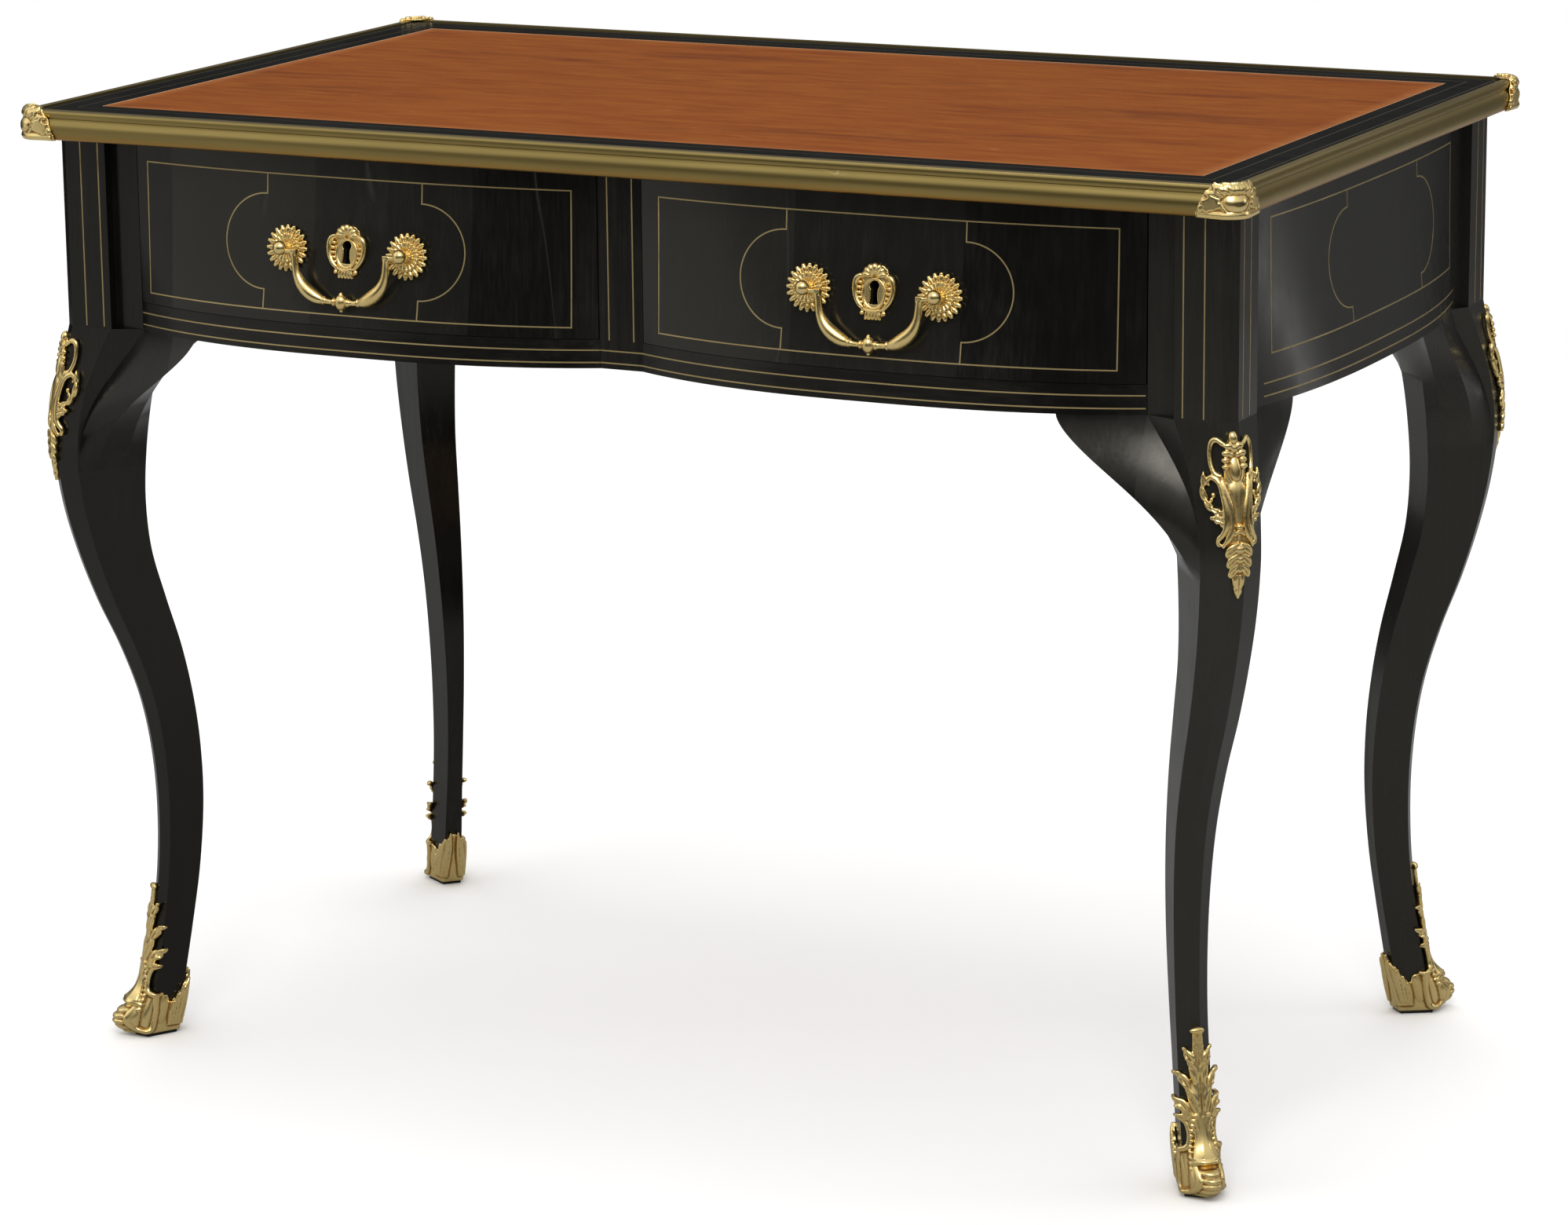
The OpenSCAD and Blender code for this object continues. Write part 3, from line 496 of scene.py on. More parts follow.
def cast(shape: BMesh, grain: float) -> Mesh:
    """Melt overlapping solids into one closed skin, as they would be in a casting.

    Args:
        shape: Overlapping closed solids in millimetres, which are freed.
        grain: Size of the skin's faces in millimetres.

    Returns:
        A mesh in metres with an attribute named recess, 0.5 on even ground and more in hollows.
    """
    bmesh.ops.scale(shape, vec=(MM, MM, MM), verts=shape.verts)
    rough = bpy.data.meshes.new("rough")
    shape.to_mesh(rough)
    shape.free()
    holder = bpy.data.objects.new("rough", rough)
    bpy.context.collection.objects.link(holder)
    remesh = holder.modifiers.new("melt", "REMESH")
    remesh.mode = "VOXEL"
    remesh.voxel_size = grain * MM
    graph = bpy.context.evaluated_depsgraph_get()
    skin = bpy.data.meshes.new_from_object(holder.evaluated_get(graph))
    bpy.data.objects.remove(holder)
    bpy.data.meshes.remove(rough)
    soft = bmesh.new()
    soft.from_mesh(skin)
    axes = {"use_axis_x": True, "use_axis_y": True, "use_axis_z": True}
    for _ in range(2):
        bmesh.ops.smooth_vert(soft, verts=soft.verts, factor=0.5, **axes)
    soft.to_mesh(skin)
    soft.free()
    mark_recesses(skin, reach=7, depth=0.22 * MM)
    return skin


def mark_recesses(mesh: Mesh, reach: int, depth: float) -> None:
    """Write how deep each point lies below its surroundings into the attribute recess.

    Args:
        mesh: The mesh.
        reach: How many faces away the surroundings lie.
        depth: Depth in metres that counts as a full recess.
    """
    count = len(mesh.vertices)
    points = np.empty(count * 3)
    mesh.vertices.foreach_get("co", points)
    points = points.reshape(-1, 3)
    edges = np.empty(len(mesh.edges) * 2, dtype=np.int64)
    mesh.edges.foreach_get("vertices", edges)
    a, b = edges[0::2], edges[1::2]
    share = np.bincount(a, minlength=count) + np.bincount(b, minlength=count)
    around = points.copy()
    for _ in range(reach):
        total = np.empty_like(points)
        for axis in range(3):
            total[:, axis] = np.bincount(a, around[b, axis], minlength=count)
            total[:, axis] += np.bincount(b, around[a, axis], minlength=count)
        around = total / np.maximum(share, 1)[:, None]
    normals = np.empty(count * 3)
    mesh.vertices.foreach_get("normal", normals)
    below = ((around - points) * normals.reshape(-1, 3)).sum(axis=1)
    recess = mesh.attributes.new("recess", "FLOAT", "POINT")
    recess.data.foreach_set("value", np.clip(0.5 + below / depth / 2, 0, 1).astype(np.float32))


def mirrored_mesh(mesh: Mesh, signs: Sequence[int]) -> Mesh:
    """Copy of a mesh mirrored by signs, its faces pointing outwards."""
    copy = mesh.copy()
    copy.transform(Matrix.Diagonal((signs[0], signs[1], 1, 1)))
    if signs[0] * signs[1] < 0:
        copy.flip_normals()
    copy.update()
    return copy


def place_cast(name: str, skin: Mesh, signs: Sequence[int], body: str, gilt: Material) -> None:
    """Place a gilt cast for a node, mirrored by signs.

    Args:
        name: Name of the node that the cast stands for.
        skin: Mesh of the cast in the right back quarter.
        signs: Signs across and along the depth.
        body: Body that the cast rides on.
        gilt: Its finish.
    """
    dressing = Dressing(body, "gilt_bronze", gilt, (name,))
    place_mesh(f"{name}_bronze", mirrored_mesh(skin, signs), dressing, crease=80)


# Carving


def leg_bed(across: float, up: float, out: float) -> Vector:
    """Place on or over the skin of a leg, at a distance round it from the middle of the outer bevel."""
    reach = 1.6
    up = min(up, FORM.frieze_bottom - reach)
    spot = FORM.leg_point(across, up)
    round_way = FORM.leg_point(across + reach, up) - FORM.leg_point(across - reach, up)
    up_way = FORM.leg_point(across, up + reach) - FORM.leg_point(across, up - reach)
    normal = up_way.cross(round_way).normalized()
    front, back = FORM.outer_line(math.floor(up), 1)[0], FORM.outer_line(math.floor(up), 1)[-1]
    outward = spot.xy - Vector(between(front, back, 0.5))
    return spot - normal * out if normal.xy.dot(outward) < 0 else spot + normal * out


@dataclass(frozen=True)
class FrontBed:
    """Leaning plane on a drawer front, about a point at handle height."""

    x: float
    rest: float
    lean: float = 8.54195

    def __call__(self, across: float, up: float, out: float) -> Vector:
        """Place at distances across, up and out of the plane."""
        angle = math.radians(self.lean)
        return Vector(
            (
                self.x + across,
                self.rest - up * math.sin(angle) + out * math.cos(angle),
                FORM.handle_z + up * math.cos(angle) + out * math.sin(angle),
            )
        )


class Carving:
    """Carved elements gathered in flat coordinates: across, up and out of what they lie on."""

    def __init__(self) -> None:
        """Start with bare ground."""
        self.shape = bmesh.new()

    def rope(self, points: Rows, flat: float = 1.0, steps: int = 28, sides: int = 10) -> None:
        """Round or flattened stem along a smooth curve.

        Args:
            points: Rows of across, up, out and radius.
            flat: Height of the stem as a share of its width.
            steps: Number of rings.
            sides: Number of points in each ring.
        """
        rows = [along_curve(points, k / (steps - 1)) for k in range(steps)]
        middles = [Vector(row[:3]) for row in rows]
        sections = []
        for k, row in enumerate(rows):
            ahead = middles[min(k + 1, steps - 1)] - middles[max(k - 1, 0)]
            side = Vector((ahead.y, -ahead.x, 0))
            side = side.normalized() if side.length > 1e-6 else Vector((1, 0, 0))
            lift = side.cross(ahead).normalized()
            if lift.z < 0:
                lift = -lift
            sections.append((side * max(row[3], 0.05), lift * max(row[3], 0.05) * flat))

        def place(ring: int, spot: int) -> Vector:
            turn = math.tau * spot / sides
            side, lift = sections[ring]
            return middles[ring] + side * math.cos(turn) + lift * math.sin(turn)

        add_shape(self.shape, lofted(steps, sides, place))

    def leaf(
        self,
        points: Rows,
        thickness: float,
        lobes: float = 4,
        cut: float = 0.35,
        ridge: float = 0.5,
        sweep: float = 0.12,
        steps: int = 44,
    ) -> None:
        """Lobed leaf with a grooved middle, along a smooth curve.

        Args:
            points: Rows of across, up, out and half width along the middle of the leaf.
            thickness: Thickness of the leaf at its middle.
            lobes: Number of lobes on each side.
            cut: Depth of the cuts between the lobes, as a share of the half width.
            ridge: Height of the ribs that run into the lobes.
            sweep: How far the lobes point forward, as a share of the leaf.
            steps: Number of rings.
        """
        half = 8
        around = 4 * half

        def place(ring: int, spot: int) -> Vector:
            t = ring / (steps - 1)
            upper = spot <= 2 * half
            s = (spot - half) / half if upper else (3 * half - spot) / half
            forward = min(1.0, t + sweep * abs(s) ** 1.5 * math.sin(math.pi * t) ** 0.5)
            row = along_curve(points, forward)
            ahead, behind = along_curve(points, forward + 0.01), along_curve(points, forward - 0.01)
            way = Vector((ahead[0] - behind[0], ahead[1] - behind[1], 0))
            way = way.normalized() if way.length > 1e-9 else Vector((0, 1, 0))
            side = Vector((way.y, -way.x, 0))
            phase = lobes * t
            notch = 1 - cut * abs(math.cos(math.pi * phase)) ** 5
            base = Vector(row[:3]) + side * (s * row[3] * notch)
            if not upper:
                return base - Vector((0, 0, thickness * 0.5))
            rib = ridge * abs(s) * (1 - abs(s) ** 3) * (0.4 - math.cos(2 * math.pi * phase))
            dome = thickness * (0.25 + 0.75 * math.sqrt(max(0.0, 1 - s * s)))
            vein = -0.45 * thickness * swell(s, 0, 0.14)
            return base + Vector((0, 0, dome + rib + vein))

        add_shape(self.shape, lofted(steps, around, place))

    def bead(self, centre: Sequence[float], radius: float, shape: Sequence[float] = (1, 1, 1)) -> None:
        """Round or stretched bead.

        Args:
            centre: Its place across, up and out.
            radius: Its radius.
            shape: Its stretch across, up and out.
        """
        ball = bmesh.new()
        fine = 2 if radius > 4 else 1
        bmesh.ops.create_uvsphere(ball, u_segments=16 * fine, v_segments=10 * fine, radius=radius)
        bmesh.ops.scale(ball, vec=shape, verts=ball.verts)
        bmesh.ops.translate(ball, vec=centre, verts=ball.verts)
        add_shape(self.shape, ball)

    def ring(self, centre: Sequence[float], half: Point, radius: float, flat: float = 1.0) -> None:
        """Raised oval rim.

        Args:
            centre: Its middle across, up and out.
            half: Half its width and height.
            radius: Radius of the rim's section.
            flat: Height of the rim as a share of its width.
        """
        sides, steps = 10, 48

        def place(step: int, spot: int) -> Vector:
            turn, roll = math.tau * step / steps, math.tau * spot / sides
            out_way = Vector((math.cos(turn), math.sin(turn), 0))
            middle = Vector(centre) + Vector((half[0] * out_way.x, half[1] * out_way.y, 0))
            lift = Vector((0, 0, radius * flat * math.sin(roll)))
            return middle + out_way * (radius * math.cos(roll)) + lift

        add_shape(self.shape, lofted(steps, sides, place, looped=True))

    def slab(self, outline: Sequence[Point], low: float, high: float) -> None:
        """Flat plate over an outline, between two heights."""
        plate = prism(outline, low, high)
        bmesh.ops.subdivide_edges(plate, edges=plate.edges, cuts=1, use_grid_fill=True)
        add_shape(self.shape, plate)

    def collar(self, rows: Sequence[tuple[Point, Point]], low: float, high: float) -> None:
        """Flat plate round an opening.

        Args:
            rows: Pairs of points in turn round the opening, on the outer and on the inner edge.
            low: Height of its underside.
            high: Height of its face.
        """

        def place(ring: int, spot: int) -> Vector:
            x, y = rows[ring][0 if spot in (0, 3) else 1]
            return Vector((x, y, low if spot < 2 else high))

        add_shape(self.shape, lofted(len(rows), 4, place, looped=True))

    def twin(self) -> None:
        """Mirror all that is carved so far to the other side of the middle line."""
        other = mirrored(self.shape, (-1, 1))
        add_shape(self.shape, other)

    def laid(self, bed: Bed) -> BMesh:
        """Lay the carving on its bed.

        Args:
            bed: Gives the place in the table for distances across, up and out.

        Returns:
            The carving in the coordinates of the table.
        """
        for vert in self.shape.verts:
            vert.co = bed(*vert.co)
        bmesh.ops.recalc_face_normals(self.shape, faces=self.shape.faces)
        return self.shape


# Finishes


class Graph:
    """Short way to place nodes in a tree and to join them."""

    def __init__(self, tree: NodeTree) -> None:
        """Work in a tree."""
        self.tree = tree

    def fill(self, made: Node, values: dict[str, object]) -> None:
        """Give each named input of a node its plain value, or join it to a socket."""
        for key, value in values.items():
            if isinstance(value, NodeSocket):
                self.tree.links.new(value, made.inputs[key])
            else:
                made.inputs[key].default_value = value

    def node(self, kind: str, values: dict[str, object] | None = None, **settings: object) -> Node:
        """Place a node.

        Args:
            kind: Type of the node without the words ShaderNode.
            values: What its inputs hold.
            **settings: Properties of the node.

        Returns:
            The node.
        """
        made = self.tree.nodes.new("ShaderNode" + kind)
        for key, value in settings.items():
            setattr(made, key, value)
        self.fill(made, values or {})
        return made

    def group(self, tree: NodeTree, **values: object) -> bpy.types.NodeOutputs:
        """Place a node group.

        Args:
            tree: The group.
            **values: What its inputs hold.

        Returns:
            Its outputs by name.
        """
        made = self.node("Group")
        made.node_tree = tree
        self.fill(made, values)
        return made.outputs

    def noise(self, vector: NodeSocket, scale: float) -> NodeSocket:
        """Noise of a scale per metre, as a value about 0.5."""
        values = {"Vector": vector, "Scale": scale, "Detail": 2, "Roughness": 0.55}
        return self.node("TexNoise", values).outputs["Fac"]

    def span(self, value: NodeSocket, low: float, high: float, to: Point = (0, 1)) -> NodeSocket:
        """Value stretched from one span to another and held inside it."""
        values = {"Value": value, "From Min": low, "From Max": high, "To Min": to[0], "To Max": to[1]}
        return self.node("MapRange", values).outputs["Result"]

    def blend(self, share: object, a: object, b: object) -> NodeSocket:
        """Colour at a share of the way from a to b."""
        made = self.node("Mix", data_type="RGBA")
        for key, value in (("Factor", share), ("A", a), ("B", b)):
            socket = next(s for s in made.inputs if s.name == key and s.enabled)
            if isinstance(value, NodeSocket):
                self.tree.links.new(value, socket)
            else:
                socket.default_value = value if isinstance(value, (int, float)) else (*value, 1)
        return next(s for s in made.outputs if s.enabled)

    def sum(self, a: object, b: object, operation: str = "ADD") -> NodeSocket:
        """Two values added, or joined by another operation."""
        return self.node("Math", {0: a, 1: b}, operation=operation).outputs[0]

    def times(self, a: object, b: object) -> NodeSocket:
        """Product of two values."""
        return self.sum(a, b, "MULTIPLY")

    def less(self, a: object, b: object) -> NodeSocket:
        """First value less the second."""
        return self.sum(a, b, "SUBTRACT")

    def absolute(self, a: object) -> NodeSocket:
        """Value without its sign."""
        return self.node("Math", {0: a}, operation="ABSOLUTE").outputs[0]


def group_tree(
    name: str, inputs: dict[str, float], outputs: Sequence[str]
) -> tuple[NodeTree, Graph, bpy.types.NodeOutputs, Node]:
    """Start a node group with a vector as its first input.

    Args:
        name: Name of the group.
        inputs: Starting value of each further input by name.
        outputs: Names of the outputs, all of them values.

    Returns:
        The group, a graph that works in it, what is given to it and what it gives back.
    """
    tree = bpy.data.node_groups.new(name, "ShaderNodeTree")
    tree.interface.new_socket("Vector", in_out="INPUT", socket_type="NodeSocketVector")
    for key, value in inputs.items():
        tree.interface.new_socket(key, in_out="INPUT", socket_type="NodeSocketFloat").default_value = value
    for key in outputs:
        tree.interface.new_socket(key, in_out="OUTPUT", socket_type="NodeSocketFloat")
    given, result = tree.nodes.new("NodeGroupInput"), tree.nodes.new("NodeGroupOutput")
    return tree, Graph(tree), given.outputs, result


@lru_cache(maxsize=1)
def fibre_group() -> NodeTree:
    """Fine fibres of wood or polish, drawn out along one way, and the pores between them."""
    tree, graph, given, result = group_tree("fibres", {"Scale": 300.0, "Pores": 0.5}, ("Fibre", "Pore"))
    vector, scale = given["Vector"], given["Scale"]
    fine = graph.node("TexNoise", {"Vector": vector, "Scale": scale, "Detail": 4}).outputs["Fac"]
    wide_scale = graph.times(scale, 0.23)
    wide = graph.node("TexNoise", {"Vector": vector, "Scale": wide_scale, "Detail": 2}).outputs["Fac"]
    low = graph.less(0.42, graph.times(given["Pores"], 0.16))
    ends = {"From Min": low, "From Max": graph.sum(low, 0.05), "To Min": 1.0, "To Max": 0.0}
    pore = graph.node("MapRange", {"Value": fine, **ends}).outputs["Result"]
    graph.fill(result, {"Fibre": graph.sum(graph.times(fine, 0.6), graph.times(wide, 0.4)), "Pore": pore})
    return tree


@lru_cache(maxsize=1)
def mottle_group() -> NodeTree:
    """Uneven patches at two sizes, as patina and wear have."""
    tree, graph, given, result = group_tree("mottle", {"Scale": 20.0, "Contrast": 1.0}, ("Patch",))
    vector, scale = given["Vector"], given["Scale"]
    large = graph.node("TexNoise", {"Vector": vector, "Scale": scale, "Detail": 5}).outputs["Fac"]
    small_scale = graph.times(scale, 6.3)
    small = graph.node("TexNoise", {"Vector": vector, "Scale": small_scale, "Detail": 3}).outputs["Fac"]
    both = graph.sum(graph.times(large, 0.7), graph.times(small, 0.3))
    off = graph.times(graph.less(both, 0.5), given["Contrast"])
    graph.fill(result, {"Patch": graph.sum(off, 0.5)})
    return tree


@lru_cache(maxsize=1)
def scratch_group() -> NodeTree:
    """Thin scattered scratches, as a mask."""
    tree, graph, given, result = group_tree("scratches", {"Scale": 60.0, "Amount": 0.5}, ("Mask",))
    vector = given["Vector"]
    lines = graph.node("TexNoise", {"Vector": vector, "Scale": given["Scale"], "Detail": 1}).outputs["Fac"]
    thin = graph.span(graph.absolute(graph.less(lines, 0.5)), 0.0, 0.006, (1, 0))
    where = graph.node("TexNoise", {"Vector": vector, "Scale": 31.0, "Detail": 2}).outputs["Fac"]
    edge = graph.less(0.75, graph.times(given["Amount"], 0.25))
    ends = {"From Min": edge, "From Max": graph.sum(edge, 0.06)}
    part = graph.node("MapRange", {"Value": where, **ends}).outputs["Result"]
    graph.fill(result, {"Mask": graph.times(thin, part)})
    return tree


@lru_cache(maxsize=1)
def edge_group() -> NodeTree:
    """Distance outside the edge of the leather, in metres and less than 0 on the leather itself."""
    tree, graph, given, result = group_tree("edge_distance", {}, ("Away",))
    spot = graph.node("SeparateXYZ", {"Vector": given["Vector"]}).outputs
    gaps = [graph.less(graph.absolute(spot[axis]), half * MM) for axis, half in zip("XY", FORM.leather_half)]
    graph.fill(result, {"Away": graph.sum(*gaps, "MAXIMUM")})
    return tree


def start_material(name: str, **constants: object) -> tuple[Material, Graph]:
    """Start a material with one Principled shader.

    Args:
        name: Name of the material.
        **constants: Values of the shader that are the same all over, with _ for each space.

    Returns:
        The material and a graph that works in it.
    """
    made = bpy.data.materials.new(name)
    made.use_nodes = True
    shader = made.node_tree.nodes[SHADER]
    for key, value in constants.items():
        shader.inputs[key.replace("_", " ")].default_value = value
    return made, Graph(made.node_tree)


def join_shader(
    graph: Graph,
    colour: NodeSocket,
    rough: NodeSocket,
    height: NodeSocket,
    strength: float,
    depth: float,
) -> None:
    """Join what a material has worked out to its shader.

    Args:
        graph: Graph of the material.
        colour: Base colour.
        rough: Roughness.
        height: Height of the fine relief.
        strength: Strength of the relief.
        depth: Depth of the relief in metres.
    """
    bump = graph.node("Bump", {"Strength": strength, "Distance": depth, "Height": height}).outputs["Normal"]
    shader = graph.tree.nodes[SHADER]
    graph.fill(shader, {"Base Color": colour, "Roughness": rough, "Normal": bump})


def object_vector(graph: Graph, scale: Sequence[float] = (1, 1, 1)) -> NodeSocket:
    """Object coordinates, stretched by a scale."""
    spot = graph.node("TexCoord").outputs["Object"]
    return graph.node("Mapping", {"Vector": spot, "Scale": scale}).outputs["Vector"]


@dataclass(frozen=True)
class EbonisedWood:
    """Black polished wood with fine fibres that show through the polish, and on upright pieces a painted
    reflection that is paler leaf by leaf.
    """

    lay: Lay = Lay.UPRIGHT
    ground: Triple = (0.0032, 0.0031, 0.0028)
    worn: Triple = (0.0105, 0.0098, 0.0078)
    paler: Triple = (0.0170, 0.0165, 0.0140)
    scuffed: Triple = (0.085, 0.08, 0.07)
    seam: Triple = (0.062, 0.057, 0.036)
    sheen: float = 0.42
    tint: tuple[float, float, float, float] = (1.0, 0.96, 0.84, 1.0)
    seams: tuple[float, ...] = ()

    def material(self) -> Material:
        """Build the material, with a pale line at each distance in seams from the edge of the leather."""
        name = f"ebonised_{self.lay.name.lower()}" + ("_border" if self.seams else "")
        constants = {"IOR": 1.46, "Specular_IOR_Level": self.sheen, "Specular_Tint": self.tint}
        made, graph = start_material(name, **constants)
        vector = object_vector(graph, self.lay.value)
        plain = object_vector(graph)
        fibres = graph.group(fibre_group(), Vector=vector, Scale=420.0, Pores=0.35)
        patches = graph.group(mottle_group(), Vector=plain, Scale=7.0, Contrast=1.5)["Patch"]
        marks = graph.group(scratch_group(), Vector=vector, Scale=16.0, Amount=0.5)["Mask"]
        tone = graph.span(fibres["Fibre"], 0.42, 0.66)
        haze = graph.span(patches, 0.35, 0.8, (0.1, 0.75))
        colour = graph.blend(graph.times(tone, haze), self.ground, self.worn)
        # Painted reflection: the leaves of veneer across a piece are painted paler in steps, standing in for
        # the brighter reflection on part of a polished front.
        if self.lay is Lay.UPRIGHT:
            along = graph.node("SeparateXYZ", {"Vector": plain}).outputs["X"]
            sheet = 2 * FORM.half_opening * MM / 3
            start = graph.less(along, (FORM.drawer_x - FORM.half_opening) * MM - 3 * sheet)
            place = graph.sum(start, 3 * sheet, "FLOORED_MODULO")
            leaf = graph.span(graph.sum(place, sheet, "SNAP"), 0.0, 2 * sheet, (0.5, 0.0))
            colour = graph.blend(leaf, colour, self.paler)
        colour = graph.blend(graph.times(marks, 0.22), colour, self.scuffed)
        for reach in self.seams:
            away = graph.group(edge_group(), Vector=plain)["Away"]
            off = graph.absolute(graph.less(away, reach * MM))
            colour = graph.blend(graph.span(off, 0.00035, 0.0007, (0.85, 0)), colour, self.seam)
        rough = graph.span(patches, 0.2, 0.8, (0.11, 0.27))
        rough = graph.sum(rough, graph.span(fibres["Fibre"], 0.45, 0.7, (0.0, 0.07)))
        height = graph.less(graph.times(fibres["Fibre"], 0.5), fibres["Pore"])
        height = graph.sum(height, graph.times(patches, 2.0))
        join_shader(graph, colour, rough, height, 0.05, 0.0005)
        return made


@dataclass(frozen=True)
class Oak:
    """Plain old oak of the inside, dry and brown."""

    lay: Lay = Lay.DEEP
    light: Triple = (0.36, 0.21, 0.105)
    dark: Triple = (0.17, 0.088, 0.04)
    pore: Triple = (0.06, 0.03, 0.014)

    def material(self) -> Material:
        """Build the material."""
        made, graph = start_material(f"oak_{self.lay.name.lower()}", IOR=1.45)
        vector = object_vector(graph, self.lay.value)
        fibres = graph.group(fibre_group(), Vector=vector, Scale=260.0, Pores=0.8)
        patches = graph.group(mottle_group(), Vector=vector, Scale=14.0, Contrast=1.8)["Patch"]
        colour = graph.blend(graph.span(fibres["Fibre"], 0.35, 0.65), self.dark, self.light)
        colour = graph.blend(graph.times(fibres["Pore"], 0.6), colour, self.pore)
        colour = graph.blend(graph.span(patches, 0.3, 0.8, (0, 0.45)), colour, self.dark)
        height = graph.less(fibres["Fibre"], fibres["Pore"])
        rough = graph.span(fibres["Fibre"], 0.3, 0.7, (0.5, 0.72))
        join_shader(graph, colour, rough, height, 0.35, 0.0005)
        return made


@dataclass(frozen=True)
class GiltBronze:
    """Fire-gilt bronze, burnished on its heights, with painted shade that turns it brown in its hollows."""

    bright: Triple = (1.0, 0.78, 0.34)
    deep: Triple = (0.34, 0.17, 0.045)
    warm: Triple = (0.85, 0.56, 0.17)
    gloss: Point = (0.22, 0.45)

    def material(self) -> Material:
        """Build the material."""
        made, graph = start_material("gilt_bronze", Metallic=1.0)
        recess = graph.node("Attribute", attribute_name="recess").outputs["Fac"]
        vector = object_vector(graph)
        patches = graph.group(mottle_group(), Vector=vector, Scale=60.0, Contrast=1.5)["Patch"]
        # Painted shade: the hollows are darkened towards the deep brown, as if shade fell in them.
        shaded_hollow = graph.span(recess, 0.52, 0.86)
        colour = graph.blend(shaded_hollow, self.bright, self.deep)
        colour = graph.blend(graph.span(patches, 0.35, 0.75, (0, 0.35)), colour, self.warm)
        worn = graph.span(patches, 0.3, 0.8, (-0.03, 0.08))
        rough = graph.sum(graph.span(recess, 0.4, 0.8, self.gloss), worn)
        join_shader(graph, colour, rough, graph.noise(vector, 2600.0), 0.12, 0.0002)
        return made


@dataclass(frozen=True)
class Brass:
    """Satin brass, a little tarnished, drawn along its length, with a painted warm glow along the foot of the
    moulding.
    """

    name: str = "brass"
    clean: Triple = (0.40, 0.30, 0.105)
    tarnished: Triple = (0.235, 0.175, 0.058)
    glow: Triple = (0.50, 0.24, 0.045)
    scratched: Triple = (0.80, 0.66, 0.38)
    gloss: Point = (0.27, 0.40)
    lay: Lay = Lay.ACROSS

    def material(self) -> Material:
        """Build the material."""
        made, graph = start_material(self.name, Metallic=1.0)
        vector = object_vector(graph, self.lay.value)
        plain = object_vector(graph)
        fibres = graph.group(fibre_group(), Vector=vector, Scale=700.0, Pores=0.2)
        patches = graph.group(mottle_group(), Vector=vector, Scale=26.0, Contrast=1.8)["Patch"]
        marks = graph.group(scratch_group(), Vector=plain, Scale=30.0, Amount=0.35)["Mask"]
        dull = graph.span(patches, 0.25, 0.8)
        colour = graph.blend(graph.times(dull, 0.7), self.clean, self.tarnished)
        # Painted glow: the lowest few millimetres of the moulding are tinted orange, as if warm light fell on
        # them.
        level = graph.node("SeparateXYZ", {"Vector": plain}).outputs["Z"]
        foot = graph.span(level, FORM.under_top * MM + 0.006, FORM.under_top * MM, (0, 0.7))
        edge = graph.span(level, FORM.under_top * MM - 0.0004, FORM.under_top * MM)
        colour = graph.blend(graph.times(foot, edge), colour, self.glow)
        colour = graph.blend(graph.times(marks, 0.35), colour, self.scratched)
        rough = graph.span(patches, 0.25, 0.8, self.gloss)
        join_shader(graph, colour, rough, fibres["Fibre"], 0.03, 0.0002)
        return made


@dataclass(frozen=True)
class Steel:
    """Dull grey steel of the locks."""

    tone: Triple = (0.30, 0.29, 0.27)
    stained: Triple = (0.14, 0.12, 0.10)

    def material(self) -> Material:
        """Build the material."""
        made, graph = start_material("steel", Metallic=1.0)
        patches = graph.group(mottle_group(), Vector=object_vector(graph), Scale=70.0, Contrast=1.6)["Patch"]
        colour = graph.blend(graph.span(patches, 0.3, 0.8), self.tone, self.stained)
        join_shader(graph, colour, graph.span(patches, 0.3, 0.8, (0.3, 0.5)), patches, 0.1, 0.0003)
        return made


@dataclass(frozen=True)
class Leather:
    """Old tan leather, streaked and darker in places, with a pale rubbed edge."""

    tan: Triple = (0.178, 0.040, 0.0036)
    gold: Triple = (0.215, 0.062, 0.0060)
    dark: Triple = (0.088, 0.018, 0.0040)
    rubbed: Triple = (0.335, 0.135, 0.0420)
    cut: Triple = (0.520, 0.330, 0.2100)

    def material(self) -> Material:
        """Build the material."""
        made, graph = start_material("leather", IOR=1.45, Specular_IOR_Level=0.06)
        plain = object_vector(graph)
        streaky = object_vector(graph, (1.0, 5.0, 1.0))
        broad = graph.group(mottle_group(), Vector=streaky, Scale=3.4, Contrast=2.4)["Patch"]
        small = graph.group(mottle_group(), Vector=streaky, Scale=19.0, Contrast=1.5)["Patch"]
        marks = graph.group(scratch_group(), Vector=plain, Scale=17.0, Amount=0.45)["Mask"]
        colour = graph.blend(graph.span(small, 0.3, 0.75), self.tan, self.gold)
        colour = graph.blend(graph.span(broad, 0.6, 0.95, (0, 0.7)), colour, self.dark)
        colour = graph.blend(graph.times(marks, 0.35), colour, self.rubbed)
        away = graph.group(edge_group(), Vector=plain)["Away"]
        colour = graph.blend(graph.span(away, -0.014, -0.002, (0, 0.4)), colour, self.rubbed)
        colour = graph.blend(graph.span(away, -0.0016, -0.0008, (0, 0.8)), colour, self.cut)
        pores = graph.node("TexVoronoi", {"Vector": plain, "Scale": 900.0})
        height = graph.sum(pores.outputs["Distance"], graph.times(small, 1.5))
        join_shader(graph, colour, graph.span(small, 0.3, 0.8, (0.40, 0.58)), height, 0.2, 0.0003)
        return made


def made_by(kind: type, *values: object, **settings: object) -> Material:
    """Field of a dataclass that holds the material of a finish."""
    return field(default_factory=lambda: kind(*values, **settings).material())


